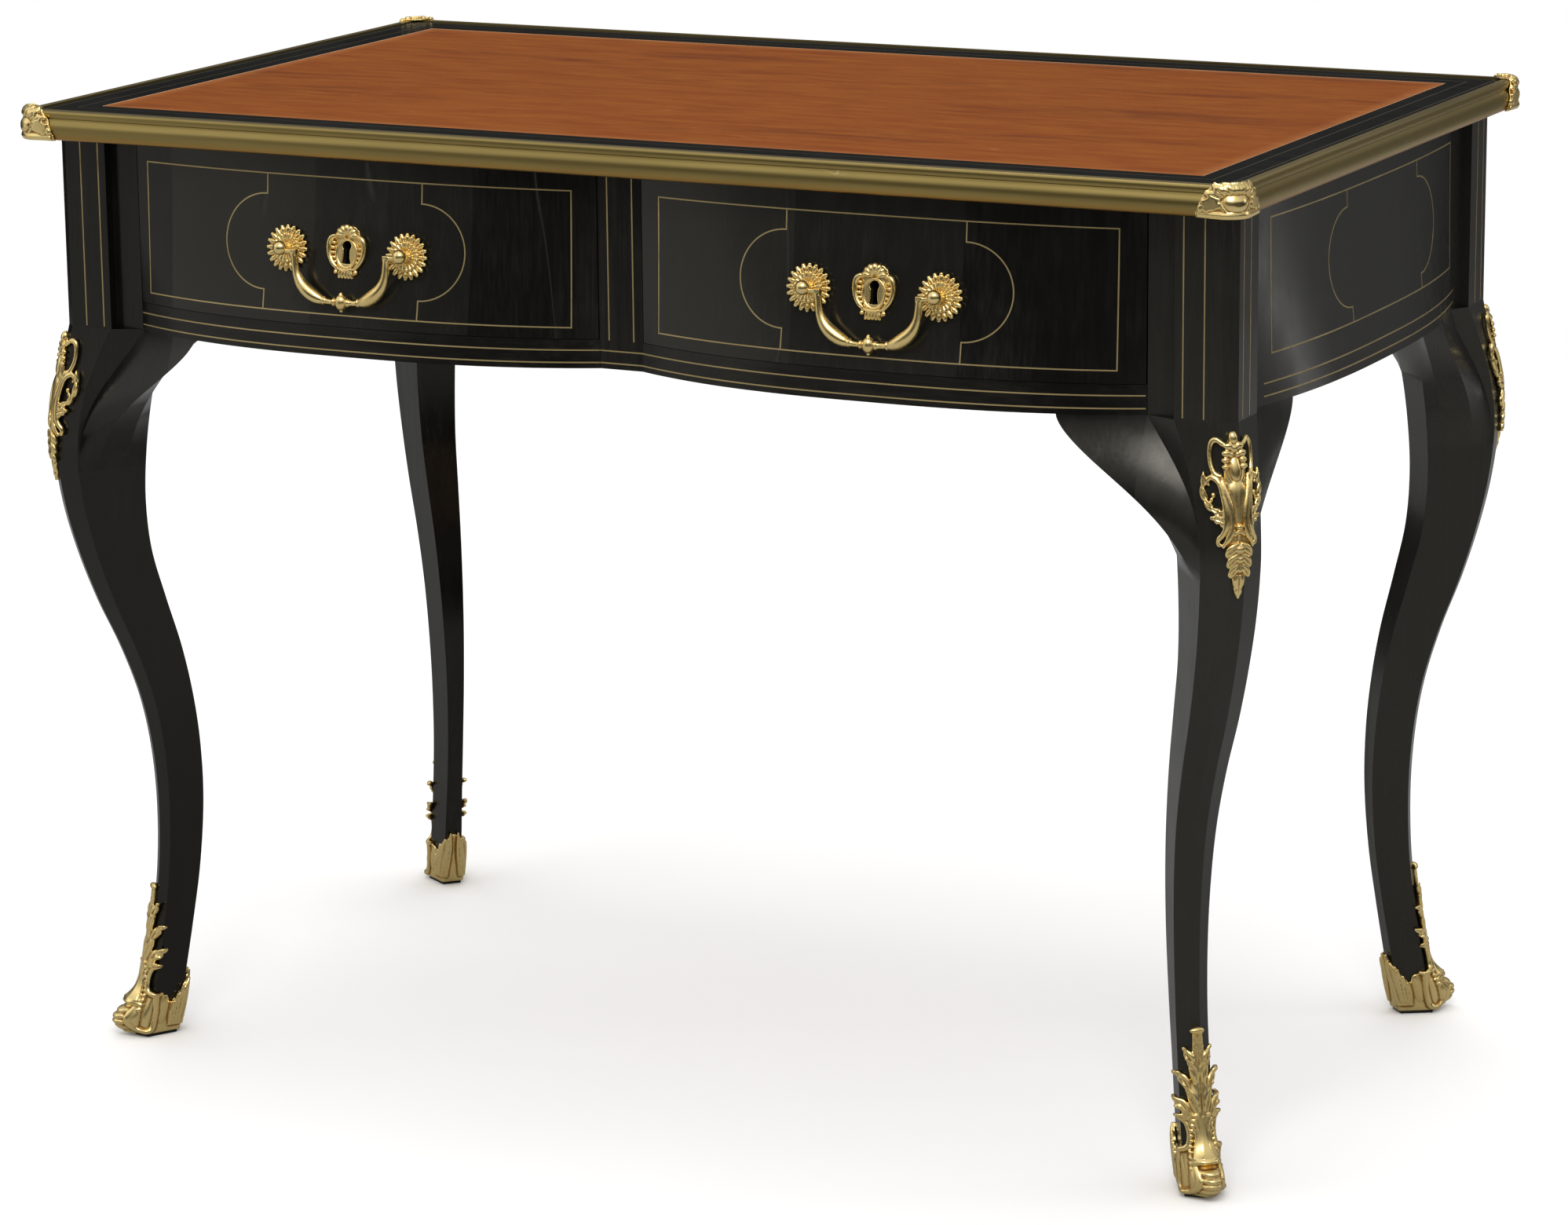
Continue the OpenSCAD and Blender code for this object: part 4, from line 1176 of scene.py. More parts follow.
@dataclass
class Finishes:
    """The materials of the table, each built once."""

    upright_wood: Material = made_by(EbonisedWood, Lay.UPRIGHT)
    across_wood: Material = made_by(EbonisedWood, Lay.ACROSS)
    border_wood: Material = made_by(EbonisedWood, Lay.ACROSS, seams=(12.6, 30.0), sheen=0.06)
    deep_oak: Material = made_by(Oak, Lay.DEEP)
    across_oak: Material = made_by(Oak, Lay.ACROSS)
    gilt: Material = made_by(GiltBronze)
    moulding: Material = made_by(Brass, "brass_moulding")
    side_moulding: Material = made_by(Brass, "brass_moulding_end", lay=Lay.DEEP)
    stringing: Material = made_by(
        Brass, "brass_stringing", clean=(0.66, 0.52, 0.25), tarnished=(0.30, 0.23, 0.11), gloss=(0.4, 0.55)
    )
    steel: Material = made_by(Steel)
    leather: Material = made_by(Leather)


# Sub-assemblies


@dataclass
class Legs:
    """Four cabriole legs with their corner posts."""

    finishes: Finishes
    rings: int = 260
    edge: float = 0.5

    def build(self) -> None:
        """Make one leg and mirror it to the four corners."""
        shape = self.shape()
        for corner in Corner:
            name = f"leg_{corner.label}"
            dressing = Dressing("carcass", "ebonised_wood", self.finishes.upright_wood, (name,))
            finished(f"{name}_wood", mirrored(shape, corner.signs), dressing, crease=24, rounding=self.edge)
        shape.free()

    def shape(self) -> BMesh:
        """Cabriole leg under its post, as two closed solids that meet in a joint."""
        form = FORM
        shape = bmesh.new()
        count = len(form.leg_section(0.0))

        def place(ring: int, spot: int) -> Vector:
            z = form.frieze_bottom * ring / (self.rings - 1)
            return Vector((*form.leg_section(z)[spot], z))

        add_shape(shape, lofted(self.rings, count, place))
        outline = [
            (form.opening_x, form.side_end_y), (form.stile[0], form.side_end_y),
            (form.stile[0], form.post_edge[1]), (form.post[0], form.post_edge[1]),
            (form.post[0], form.post[1] - form.bevel_leg), (form.post[0] - form.bevel_leg, form.post[1]),
            (form.post_edge[0], form.post[1]), (form.post_edge[0], form.stile[1]),
            (form.opening_x, form.stile[1]),
        ]
        add_shape(shape, prism(outline, form.frieze_bottom, form.under_top))
        return shape


@dataclass
class Veneers:
    """Thin faces of the bowed fronts, rails, panels and ends, over the boards that carry them."""

    finishes: Finishes
    thickness: float = 0.55
    pitch: Point = (4.0, 9.0)
    keyhole: Point = (3.75, 8.5)
    gap: float = 0.8
    drawer_z: Point = (616.9, 745.8)

    def sheet(
        self, face: Face, a: Point, b: Point, inward: Sequence[float], hole: tuple[Point, ...] = ()
    ) -> BMesh:
        """Thin closed sheet over a face.

        Args:
            face: Gives a point on the face for two coordinates.
            a: Span of the first coordinate.
            b: Span of the second coordinate.
            inward: The way into the board under the sheet.
            hole: Spans of the two coordinates of an opening, if there is one.

        Returns:
            The sheet.
        """
        columns, rows = (self.stations(*job) for job in zip((a, b), hole or ((), ()), self.pitch))
        shape = bmesh.new()
        wide, high = len(columns) - 1, len(rows) - 1
        grid = bmesh.ops.create_grid(shape, x_segments=wide, y_segments=high, size=1)["verts"]
        for index, vert in enumerate(grid):
            row, column = divmod(index, len(columns))
            vert.co = (columns[column], rows[row], 0)
        if hole:
            (left, right), (low, top) = hole
            middles = {spot: spot.calc_center_median() for spot in shape.faces}
            opened = [spot for spot, m in middles.items() if left < m.x < right and low < m.y < top]
            bmesh.ops.delete(shape, geom=opened, context="FACES")
        for vert in shape.verts:
            vert.co = face(vert.co.x, vert.co.y)
        inner = bmesh.ops.extrude_face_region(shape, geom=shape.faces)["geom"]
        moved = [part for part in inner if isinstance(part, BMVert)]
        bmesh.ops.translate(shape, vec=Vector(inward) * self.thickness, verts=moved)
        bmesh.ops.recalc_face_normals(shape, faces=shape.faces)
        return shape

    def stations(self, span: Point, cuts: Sequence[float], pitch: float) -> list[float]:
        """Places along a span, about a pitch apart, with one at each cut.

        Args:
            span: Both ends of the span.
            cuts: Places that one of the stations has to meet.
            pitch: Distance between stations.

        Returns:
            The places in turn.
        """
        marks = [span[0], *cuts, span[1]]
        places = [span[0]]
        for low, high in zip(marks, marks[1:]):
            count = max(1, round((high - low) / pitch))
            places += [mix(low, high, (k + 1) / count) for k in range(count)]
        return places

    def build(self) -> None:
        """Lay all veneers."""
        form = FORM
        drawer_x = (form.stile_half + self.gap, form.opening_x - self.gap)
        rail_x = (form.stile_half, form.opening_x)
        rail_z, panel_z = (form.frieze_bottom, form.rail_top), (form.rail_top, form.under_top)
        upright, across = self.finishes.upright_wood, self.finishes.across_wood
        middle = (form.drawer_x, form.handle_z)
        hole = tuple((spot - half, spot + half) for spot, half in zip(middle, self.keyhole))
        for hand in Hand:
            side = hand.label
            jobs = (
                (f"drawer_veneer_{side}", drawer_x, self.drawer_z, -1, f"drawer_{side}", upright, hole),
                (f"rail_veneer_{side}", rail_x, rail_z, -1, "carcass", across, ()),
                (f"back_rail_veneer_{side}", rail_x, rail_z, 1, "carcass", across, ()),
                (f"back_panel_veneer_{side}", rail_x, panel_z, 1, "carcass", upright, ()),
            )
            for name, wide, high, deep, body, wood, opening in jobs:
                sheet = self.sheet(front_veneer, wide, high, (0, -1, 0), opening)
                finished(name, mirrored(sheet, (hand.sign, deep)), Dressing(body, "ebonised_wood", wood))
                sheet.free()
            span, rise = (-form.side_end_y, form.side_end_y), (form.frieze_bottom, form.under_top)
            sheet = self.sheet(end_veneer, span, rise, (-1, 0, 0))
            name = f"end_veneer_{side}"
            finished(name, mirrored(sheet, (hand.sign, 1)), Dressing("carcass", "ebonised_wood", upright))
            sheet.free()


@dataclass(frozen=True)
class LineFrame:
    """Frame of lines with two ticks at top and foot, each pair joined by an arc that swells outward."""

    left: float
    right: float
    foot: float
    top: float
    ticks: Point
    tick_ends: Point
    reach: float


@dataclass
class Stringing:
    """Brass lines let into the black faces."""

    finishes: Finishes
    width: float = 1.05
    proud: float = 0.1
    depth: float = 0.5
    right_drawer: LineFrame = LineFrame(35.3, 407.4, 626.5, 729.2, (148.0, 293.2), (642.0, 714.2), 37.8)
    left_drawer: LineFrame = LineFrame(38.6, 416.4, 625.5, 729.4, (160.5, 298.0), (640.5, 713.8), 37.6)
    end: LineFrame = LineFrame(-194.0, 200.0, 631.5, 731.0, (-54.0, 104.0), (643.0, 718.0), 41.0)
    rail_lines: Point = (599.0, 608.4)
    post_front: Point = (458.7, 475.0)
    post_end: Point = (261.5, 248.0)
    stile_lines: Point = (-10.5, 10.5)

    def bar(self, shape: BMesh, face: Face, path: Callable[[float], Point], steps: int) -> None:
        """Add one line.

        Args:
            shape: Mesh that the line is added to.
            face: Gives a point on the face for two coordinates.
            path: Gives the two coordinates for a share of the line.
            steps: Number of rings.
        """

        def frame(t: float) -> tuple[Vector, Vector, Vector]:
            a, b = path(t)
            spot = face(a, b)
            wide, high = face(a + 0.5, b) - face(a - 0.5, b), face(a, b + 0.5) - face(a, b - 0.5)
            normal = wide.cross(high).normalized()
            if normal.x + normal.y < 0:
                normal = -normal
            ahead, behind = path(min(1.0, t + 0.01)), path(max(0.0, t - 0.01))
            run = face(*ahead) - face(*behind)
            return spot, normal, normal.cross(run).normalized()

        def place(ring: int, spot: int) -> Vector:
            middle, normal, side = frame(ring / (steps - 1))
            across = self.width / 2 * (1 if spot in (0, 3) else -1)
            return middle + side * across + normal * (self.proud if spot in (0, 1) else -self.depth)

        add_shape(shape, lofted(steps, 4, place))

    def framed(self, face: Face, frame: LineFrame) -> BMesh:
        """Lay a frame of lines on a face.

        Args:
            face: Gives a point on the face for two coordinates.
            frame: Places of the lines.

        Returns:
            The lines.
        """
        shape = bmesh.new()
        half = self.width / 2
        low_end, high_end = frame.tick_ends

        def line(start: Point, end: Point, steps: int) -> None:
            self.bar(shape, face, lambda t: between(start, end, t), steps)

        for z in (frame.foot, frame.top):
            line((frame.left - half, z), (frame.right + half, z), 80)
        for a in (frame.left, frame.right):
            line((a, frame.foot + half), (a, frame.top - half), 14)
        middle, rise = (low_end + high_end) / 2, (high_end - low_end) / 2
        for a, way in zip(frame.ticks, (-1, 1)):
            line((a, frame.foot + half), (a, low_end + half), 4)
            line((a, high_end - half), (a, frame.top - half), 4)

            def arc(t: float, a: float = a, way: int = way) -> Point:
                turn = math.pi * (t - 0.5)
                return a + way * frame.reach * math.cos(turn), middle + rise * math.sin(turn)

            self.bar(shape, face, arc, 48)
        return shape

    def build(self) -> None:
        """Lay the lines of the drawers, rails, posts, ends and back."""
        form = FORM
        drawers = {
            Hand.LEFT: self.framed(front_veneer, self.left_drawer),
            Hand.RIGHT: self.framed(front_veneer, self.right_drawer),
        }
        rail, side = bmesh.new(), self.framed(end_veneer, self.end)
        last = form.side_end_y
        for z in self.rail_lines:
            self.bar(rail, front_veneer, lambda t, z=z: (mix(form.stile_half, form.opening_x - 1, t), z), 80)
            self.bar(side, end_veneer, lambda t, z=z: (mix(14 - last, last, t), z + 2), 80)
        for hand in Hand:
            for deep, body, kind in ((-1, f"drawer_{hand.label}", "drawer"), (1, "carcass", "back_panel")):
                self.lay(f"{kind}_stringing_{hand.label}", drawers[hand], (hand.sign, deep), body)
            for deep, kind in ((-1, "rail"), (1, "back_rail")):
                self.lay(f"{kind}_stringing_{hand.label}", rail, (hand.sign, deep))
            self.lay(f"end_stringing_{hand.label}", side, (hand.sign, 1))
        for made in (*drawers.values(), rail, side):
            made.free()
        self.post_lines()

    def lay(self, name: str, lines: BMesh, signs: Sequence[int], body: str = "carcass") -> None:
        """Lay a copy of some lines, mirrored by signs, on a body."""
        finished(name, mirrored(lines, signs), Dressing(body, "brass_moulding", self.finishes.stringing))

    def post_lines(self) -> None:
        """Lay the upright lines of the corner posts and of the stiles between the drawers."""
        form = FORM

        def front(x: float, z: float) -> Vector:
            return Vector((x, form.post[1], z))

        def end(y: float, z: float) -> Vector:
            return Vector((form.post[0], y, z))

        def stile(x: float, z: float) -> Vector:
            return Vector((x, form.stile[1], z))

        low, high = form.frieze_bottom + 1.5, form.under_top
        lines = bmesh.new()
        for x in self.post_front:
            self.bar(lines, front, lambda t, x=x: (x, mix(low, high, t)), 3)
        for y in self.post_end:
            self.bar(lines, end, lambda t, y=y: (y, mix(low, high, t)), 3)
        for corner in Corner:
            self.lay(f"post_stringing_{corner.label}", lines, corner.signs)
        lines.free()
        middle = bmesh.new()
        for x in self.stile_lines:
            self.bar(middle, stile, lambda t, x=x: (x, mix(form.rail_top, high, t)), 3)
        for z in self.rail_lines:
            self.bar(middle, stile, lambda t, z=z: (mix(-form.stile_half, form.stile_half, t), z), 3)
        for deep, kind in ((-1, "stile"), (1, "back_stile")):
            self.lay(f"{kind}_stringing", middle, (1, deep))
        middle.free()


@dataclass
class Top:
    """Brass moulding, black border and leather."""

    finishes: Finishes
    profile: tuple[Point, ...] = (
        (0.0, 0.0), (6.7, 0.0), (7.6, 0.4), (8.7, 1.6), (9.5, 3.2), (10.1, 5.2), (10.4, 7.4), (10.5, 9.4),
        (10.3, 11.2), (9.8, 12.9), (9.0, 14.4), (8.1, 15.5), (7.4, 16.2), (7.2, 16.7), (7.5, 17.1),
        (8.2, 17.4), (8.5, 18.0), (8.5, 20.6), (8.3, 21.7), (7.7, 22.5), (6.7, 22.9), (5.4, 23.0),
        (0.0, 23.0),
    )
    corner_cut: float = 9.0

    def build(self) -> None:
        """Make the moulding, border and leather."""
        wide, deep = FORM.board_half
        long, short = self.finishes.moulding, self.finishes.side_moulding
        jobs = (
            ("left", deep, wide, 90, short), ("right", deep, wide, -90, short),
            ("back", wide, deep, 0, long), ("front", wide, deep, 180, long),
        )
        for side, half, edge, turn, brass in jobs:
            name = f"moulding_{side}"
            shape = self.length(half, edge)
            bmesh.ops.rotate(shape, verts=shape.verts, matrix=Matrix.Rotation(math.radians(turn), 3, "Z"))
            finished(f"{name}_brass", shape, Dressing("carcass", "brass_moulding", brass, (name,)), crease=28)
        self.border()
        self.leather()

    def length(self, half: float, edge: float) -> BMesh:
        """Length of moulding along the back edge of a board, mitred at both ends.

        Args:
            half: Half the length of the board's edge.
            edge: Distance of the edge from the middle.

        Returns:
            The moulding.
        """
        furthest = max(reach for reach, _ in self.profile)

        def place(ring: int, spot: int) -> Vector:
            reach, height = self.profile[spot]
            cut = self.corner_cut * reach / furthest
            way = -1 if ring < 2 else 1
            if ring in (1, 2):
                return Vector((way * (half + reach - cut), edge + reach, FORM.under_top + height))
            return Vector((way * (half + reach - cut / 2), edge + reach - cut / 2, FORM.under_top + height))

        return lofted(4, len(self.profile), place)

    def border(self) -> None:
        """Black border round the leather, with two fine lines where its strips meet."""
        form = FORM
        low, high = form.border_top - 5.0, form.border_top
        rows = (
            (0.0, low), (0.0, high - 0.3), (0.3, high), (12.0, high), (12.3, high - 0.25),
            (12.9, high - 0.25), (13.2, high), (29.4, high), (29.7, high - 0.25), (30.3, high - 0.25),
            (30.6, high), (36.2, high), (36.5, high - 0.2), (36.5, low),
        )
        corners = ((1, 1), (-1, 1), (-1, -1), (1, -1))

        def place(ring: int, spot: int) -> Vector:
            reach, z = rows[spot]
            sx, sy = corners[ring]
            return Vector((sx * (form.leather_half[0] + reach), sy * (form.leather_half[1] + reach), z))

        shape = lofted(4, len(rows), place, looped=True)
        dressing = Dressing("carcass", "ebonised_wood", self.finishes.border_wood, ("border",))
        finished("border_wood", shape, dressing, crease=20)

    def leather(self) -> None:
        """Leather skin with a slight life in it."""
        form = FORM
        columns, rows = 180, 100
        half_x, half_y = form.leather_half[0] - 0.15, form.leather_half[1] - 0.15
        shape = bmesh.new()
        grid = bmesh.ops.create_grid(shape, x_segments=columns, y_segments=rows, size=1)["verts"]
        for index, vert in enumerate(grid):
            row, column = divmod(index, columns + 1)
            x, y = mix(-half_x, half_x, column / columns), mix(-half_y, half_y, row / rows)
            bend_x, bend_y = 1.3 * math.sin(y * 0.017), 0.8 * math.sin(x * 0.013)
            wave = math.sin(x * 0.021 + bend_x) * math.sin(y * 0.026 + bend_y)
            edge = min(half_x - abs(x), half_y - abs(y))
            vert.co = (x, y, form.border_top - 0.45 + 0.12 * wave * min(1.0, edge / 40))
        bmesh.ops.solidify(shape, geom=shape.faces, thickness=2.0)
        bmesh.ops.recalc_face_normals(shape, faces=shape.faces)
        dressing = Dressing("carcass", "leather", self.finishes.leather, ("leather",))
        finished("leather_skin", shape, dressing, crease=40)


@dataclass
class Handles:
    """Swinging handles, with the rosettes that carry them and the keyhole plates."""

    finishes: Finishes
    pivot_y: float = 306.473
    rosette_y: float = 293.473
    plate_y: float = 293.76
    half_spacing: float = 53.0
    bail_half: float = 41.0
    bail_drop: float = 37.0

    def build(self) -> None:
        """Make the handles, rosettes and keyhole plates."""
        jobs = (
            ("bail", "handle", self.bail, 0.4),
            ("inner_rosette", "drawer", lambda: self.rosette(-1), 0.34),
            ("outer_rosette", "drawer", lambda: self.rosette(1), 0.34),
            ("keyhole_plate", "drawer", self.keyhole_plate, 0.3),
        )
        for kind, body, carve, grain in jobs:
            skin = cast(carve(), grain)
            for hand in Hand:
                name = f"{kind}_{hand.label}"
                place_cast(name, skin, (hand.sign, -1), f"{body}_{hand.label}", self.finishes.gilt)

    def rosette(self, way: int) -> BMesh:
        """Rosette of two rings of petals round a knob.

        Args:
            way: -1 for the rosette nearer the middle of the table, 1 for the other.

        Returns:
            Its overlapping solids.
        """
        carving = Carving()
        petals = 20
        turns = [math.tau * k / 48 for k in range(48)]
        carving.slab([(14.5 * math.cos(turn), 14.5 * math.sin(turn)) for turn in turns], 0.0, 1.5)
        outer = ((9.4, 2.0, 1.3), (12.4, 2.7, 1.75), (15.0, 2.5, 2.15), (16.4, 2.1, 1.8))
        inner = ((4.6, 3.4, 0.9), (7.2, 4.2, 1.4), (9.6, 4.2, 1.7))
        for k in range(2 * petals):
            turn = math.pi * k / petals
            c, s = math.cos(turn), math.sin(turn)
            rows = inner if k % 2 else outer
            carving.rope([(r * c, r * s, out, width) for r, out, width in rows], steps=14)
            reach, out, size = (10.4, 4.6, 1.5) if k % 2 else (16.8, 2.7, 1.65)
            carving.bead((reach * c, reach * s, out), size)
        knob = ((0, 0.0, -3, 6), (0, 0.01, 3, 6), (0, 0.02, 5, 4.6), (0, 0.03, 9, 3.0), (0, 0.04, 12, 3.0))
        carving.rope(knob)
        carving.bead((0, 0, 13.2), 5.9)
        return carving.laid(FrontBed(FORM.drawer_x + way * self.half_spacing, self.rosette_y))

    def keyhole_plate(self) -> BMesh:
        """Shield with a shell above, scrolls at the sides, a ring round the keyhole and a fluted foot."""
        carving = Carving()
        shield = (
            (0, 20.6), (5.2, 20.0), (9.4, 16.6), (10.8, 12.4), (13.8, 10.4), (16.4, 6.2), (16.6, 0.4),
            (14.8, -5.0), (11.2, -9.6), (8.2, -14.5), (6.2, -19.6), (0, -20.4),
        )
        keyhole = (
            (0, 8.6), (2.0, 8.1), (3.5, 6.6), (3.9, 4.8), (3.4, 3.2), (2.7, 2.0), (2.6, -1.0), (2.7, -4.0),
            (3.2, -6.6), (3.9, -8.7), (2.0, -8.9), (0, -9.0),
        )
        last = len(keyhole) - 1
        turns = [math.pi * k / last for k in range(last + 1)]
        oval = [(9.4 * math.sin(turn), -1.2 + 11.4 * math.cos(turn)) for turn in turns]
        for outline, high in ((shield, 1.1), (oval, 2.6)):
            half = list(zip(outline, keyhole))
            other = [((-a, b), (-c, d)) for (a, b), (c, d) in reversed(half[1:-1])]
            carving.collar(half + other, 0.0, high)
        carving.ring((0, -1.2, 2.4), (9.0, 11.0), 1.0, flat=0.9)
        sides = Carving()
        scroll = (
            (-8.4, 11.2, 2.4, 1.3), (-11.4, 11.8, 3.0, 2.0), (-14.2, 9.6, 3.2, 2.3), (-15.5, 5.2, 3.0, 2.2),
            (-15.3, -0.4, 2.9, 2.1), (-13.6, -5.6, 2.9, 2.0), (-10.7, -9.8, 2.9, 1.9),
            (-8.4, -12.2, 2.6, 1.5), (-8.8, -14.6, 2.2, 1.3),
        )
        sides.rope(scroll, steps=60)
        for across, up, size in (
            (-11.4, 7.0, 1.9), (-12.0, 3.2, 1.9), (-12.0, -0.6, 1.8), (-11.4, -4.2, 1.7),
            (-10.0, -7.6, 1.5),
        ):
            sides.bead((across, up, 2.0), size, (1.2, 0.8, 1.1))
        sides.bead((-8.8, -15.4, 2.2), 1.9)
        sides.bead((-10.0, 11.8, 2.6), 1.7)
        sides.twin()
        add_shape(carving.shape, sides.shape)
        flute = ((1.8, 2.8, 1.0), (4.4, 4.1, 1.5), (7.0, 3.9, 2.1), (8.6, 2.9, 2.2), (9.4, 2.2, 1.5))
        for k in range(7):
            turn = math.radians(12 + 26 * k)
            c, s = math.cos(turn), math.sin(turn)
            carving.rope([(r * c, 11.4 + r * s, out, width) for r, out, width in flute], steps=18)
        carving.bead((0, 16.4, 4.3), 1.5)
        carving.rope(((-7.6, -12.6, 2.4, 1.0), (0, -14.2, 3.2, 1.3), (7.6, -12.6, 2.4, 1.0)), steps=18)
        for k in range(5):
            across = (k - 2) * 2.3
            middle, end = (across * 1.15, -17.4, 2.6, 1.35), (across * 1.3, -20.0, 2.0, 1.25)
            carving.rope(((across, -14.2, 2.8, 1.1), middle, end), steps=10)
        return carving.laid(FrontBed(FORM.drawer_x, self.plate_y))

    def bail(self) -> BMesh:
        """Handle: two swelling arms with collars, a knop between them and pins in the knobs."""
        half = [
            (1.00, 0.03, 2.6), (0.985, 0.16, 2.7), (0.972, 0.32, 3.0), (0.94, 0.48, 3.6),
            (0.86, 0.655, 4.7), (0.73, 0.80, 5.5), (0.575, 0.91, 5.2), (0.455, 0.965, 4.1),
            (0.395, 0.982, 3.1), (0.37, 0.985, 3.7), (0.345, 0.988, 2.6), (0.28, 0.998, 2.2),
            (0.20, 1.0, 2.3), (0.155, 1.0, 3.6), (0.135, 1.0, 3.3), (0.11, 1.0, 2.6), (0.05, 1.0, 3.6),
            (0.0, 1.0, 3.8),
        ]
        rows = [(-a * self.bail_half, -b * self.bail_drop, 0.0, r) for a, b, r in half]
        rows += [(a * self.bail_half, -b * self.bail_drop, 0.0, r) for a, b, r in reversed(half[:-1])]
        carving = Carving()
        carving.rope(rows, steps=190, sides=20)
        carving.bead((0, -self.bail_drop, 0), 5.2, (0.95, 1.2, 0.95))
        for up in (-6.4, 6.4):
            carving.bead((0, up - self.bail_drop, 0), 1.6)
        for way in (-1, 1):
            start, end = way * self.bail_half, way * (self.half_spacing + 2.4)
            shoulder = block((start - 2.5, -2.4, -2.3), (start + 2.5, 2.0, 2.3))
            add_shape(carving.shape, shoulder)
            pin = [(mix(start, end, t), 0, 0, 2) for t in (0, 0.5, 1)]
            carving.rope(pin, steps=4, sides=16)

        def bed(across: float, up: float, out: float) -> Vector:
            return Vector((FORM.drawer_x + across, self.pivot_y + out, FORM.handle_z + up))

        return carving.laid(bed)


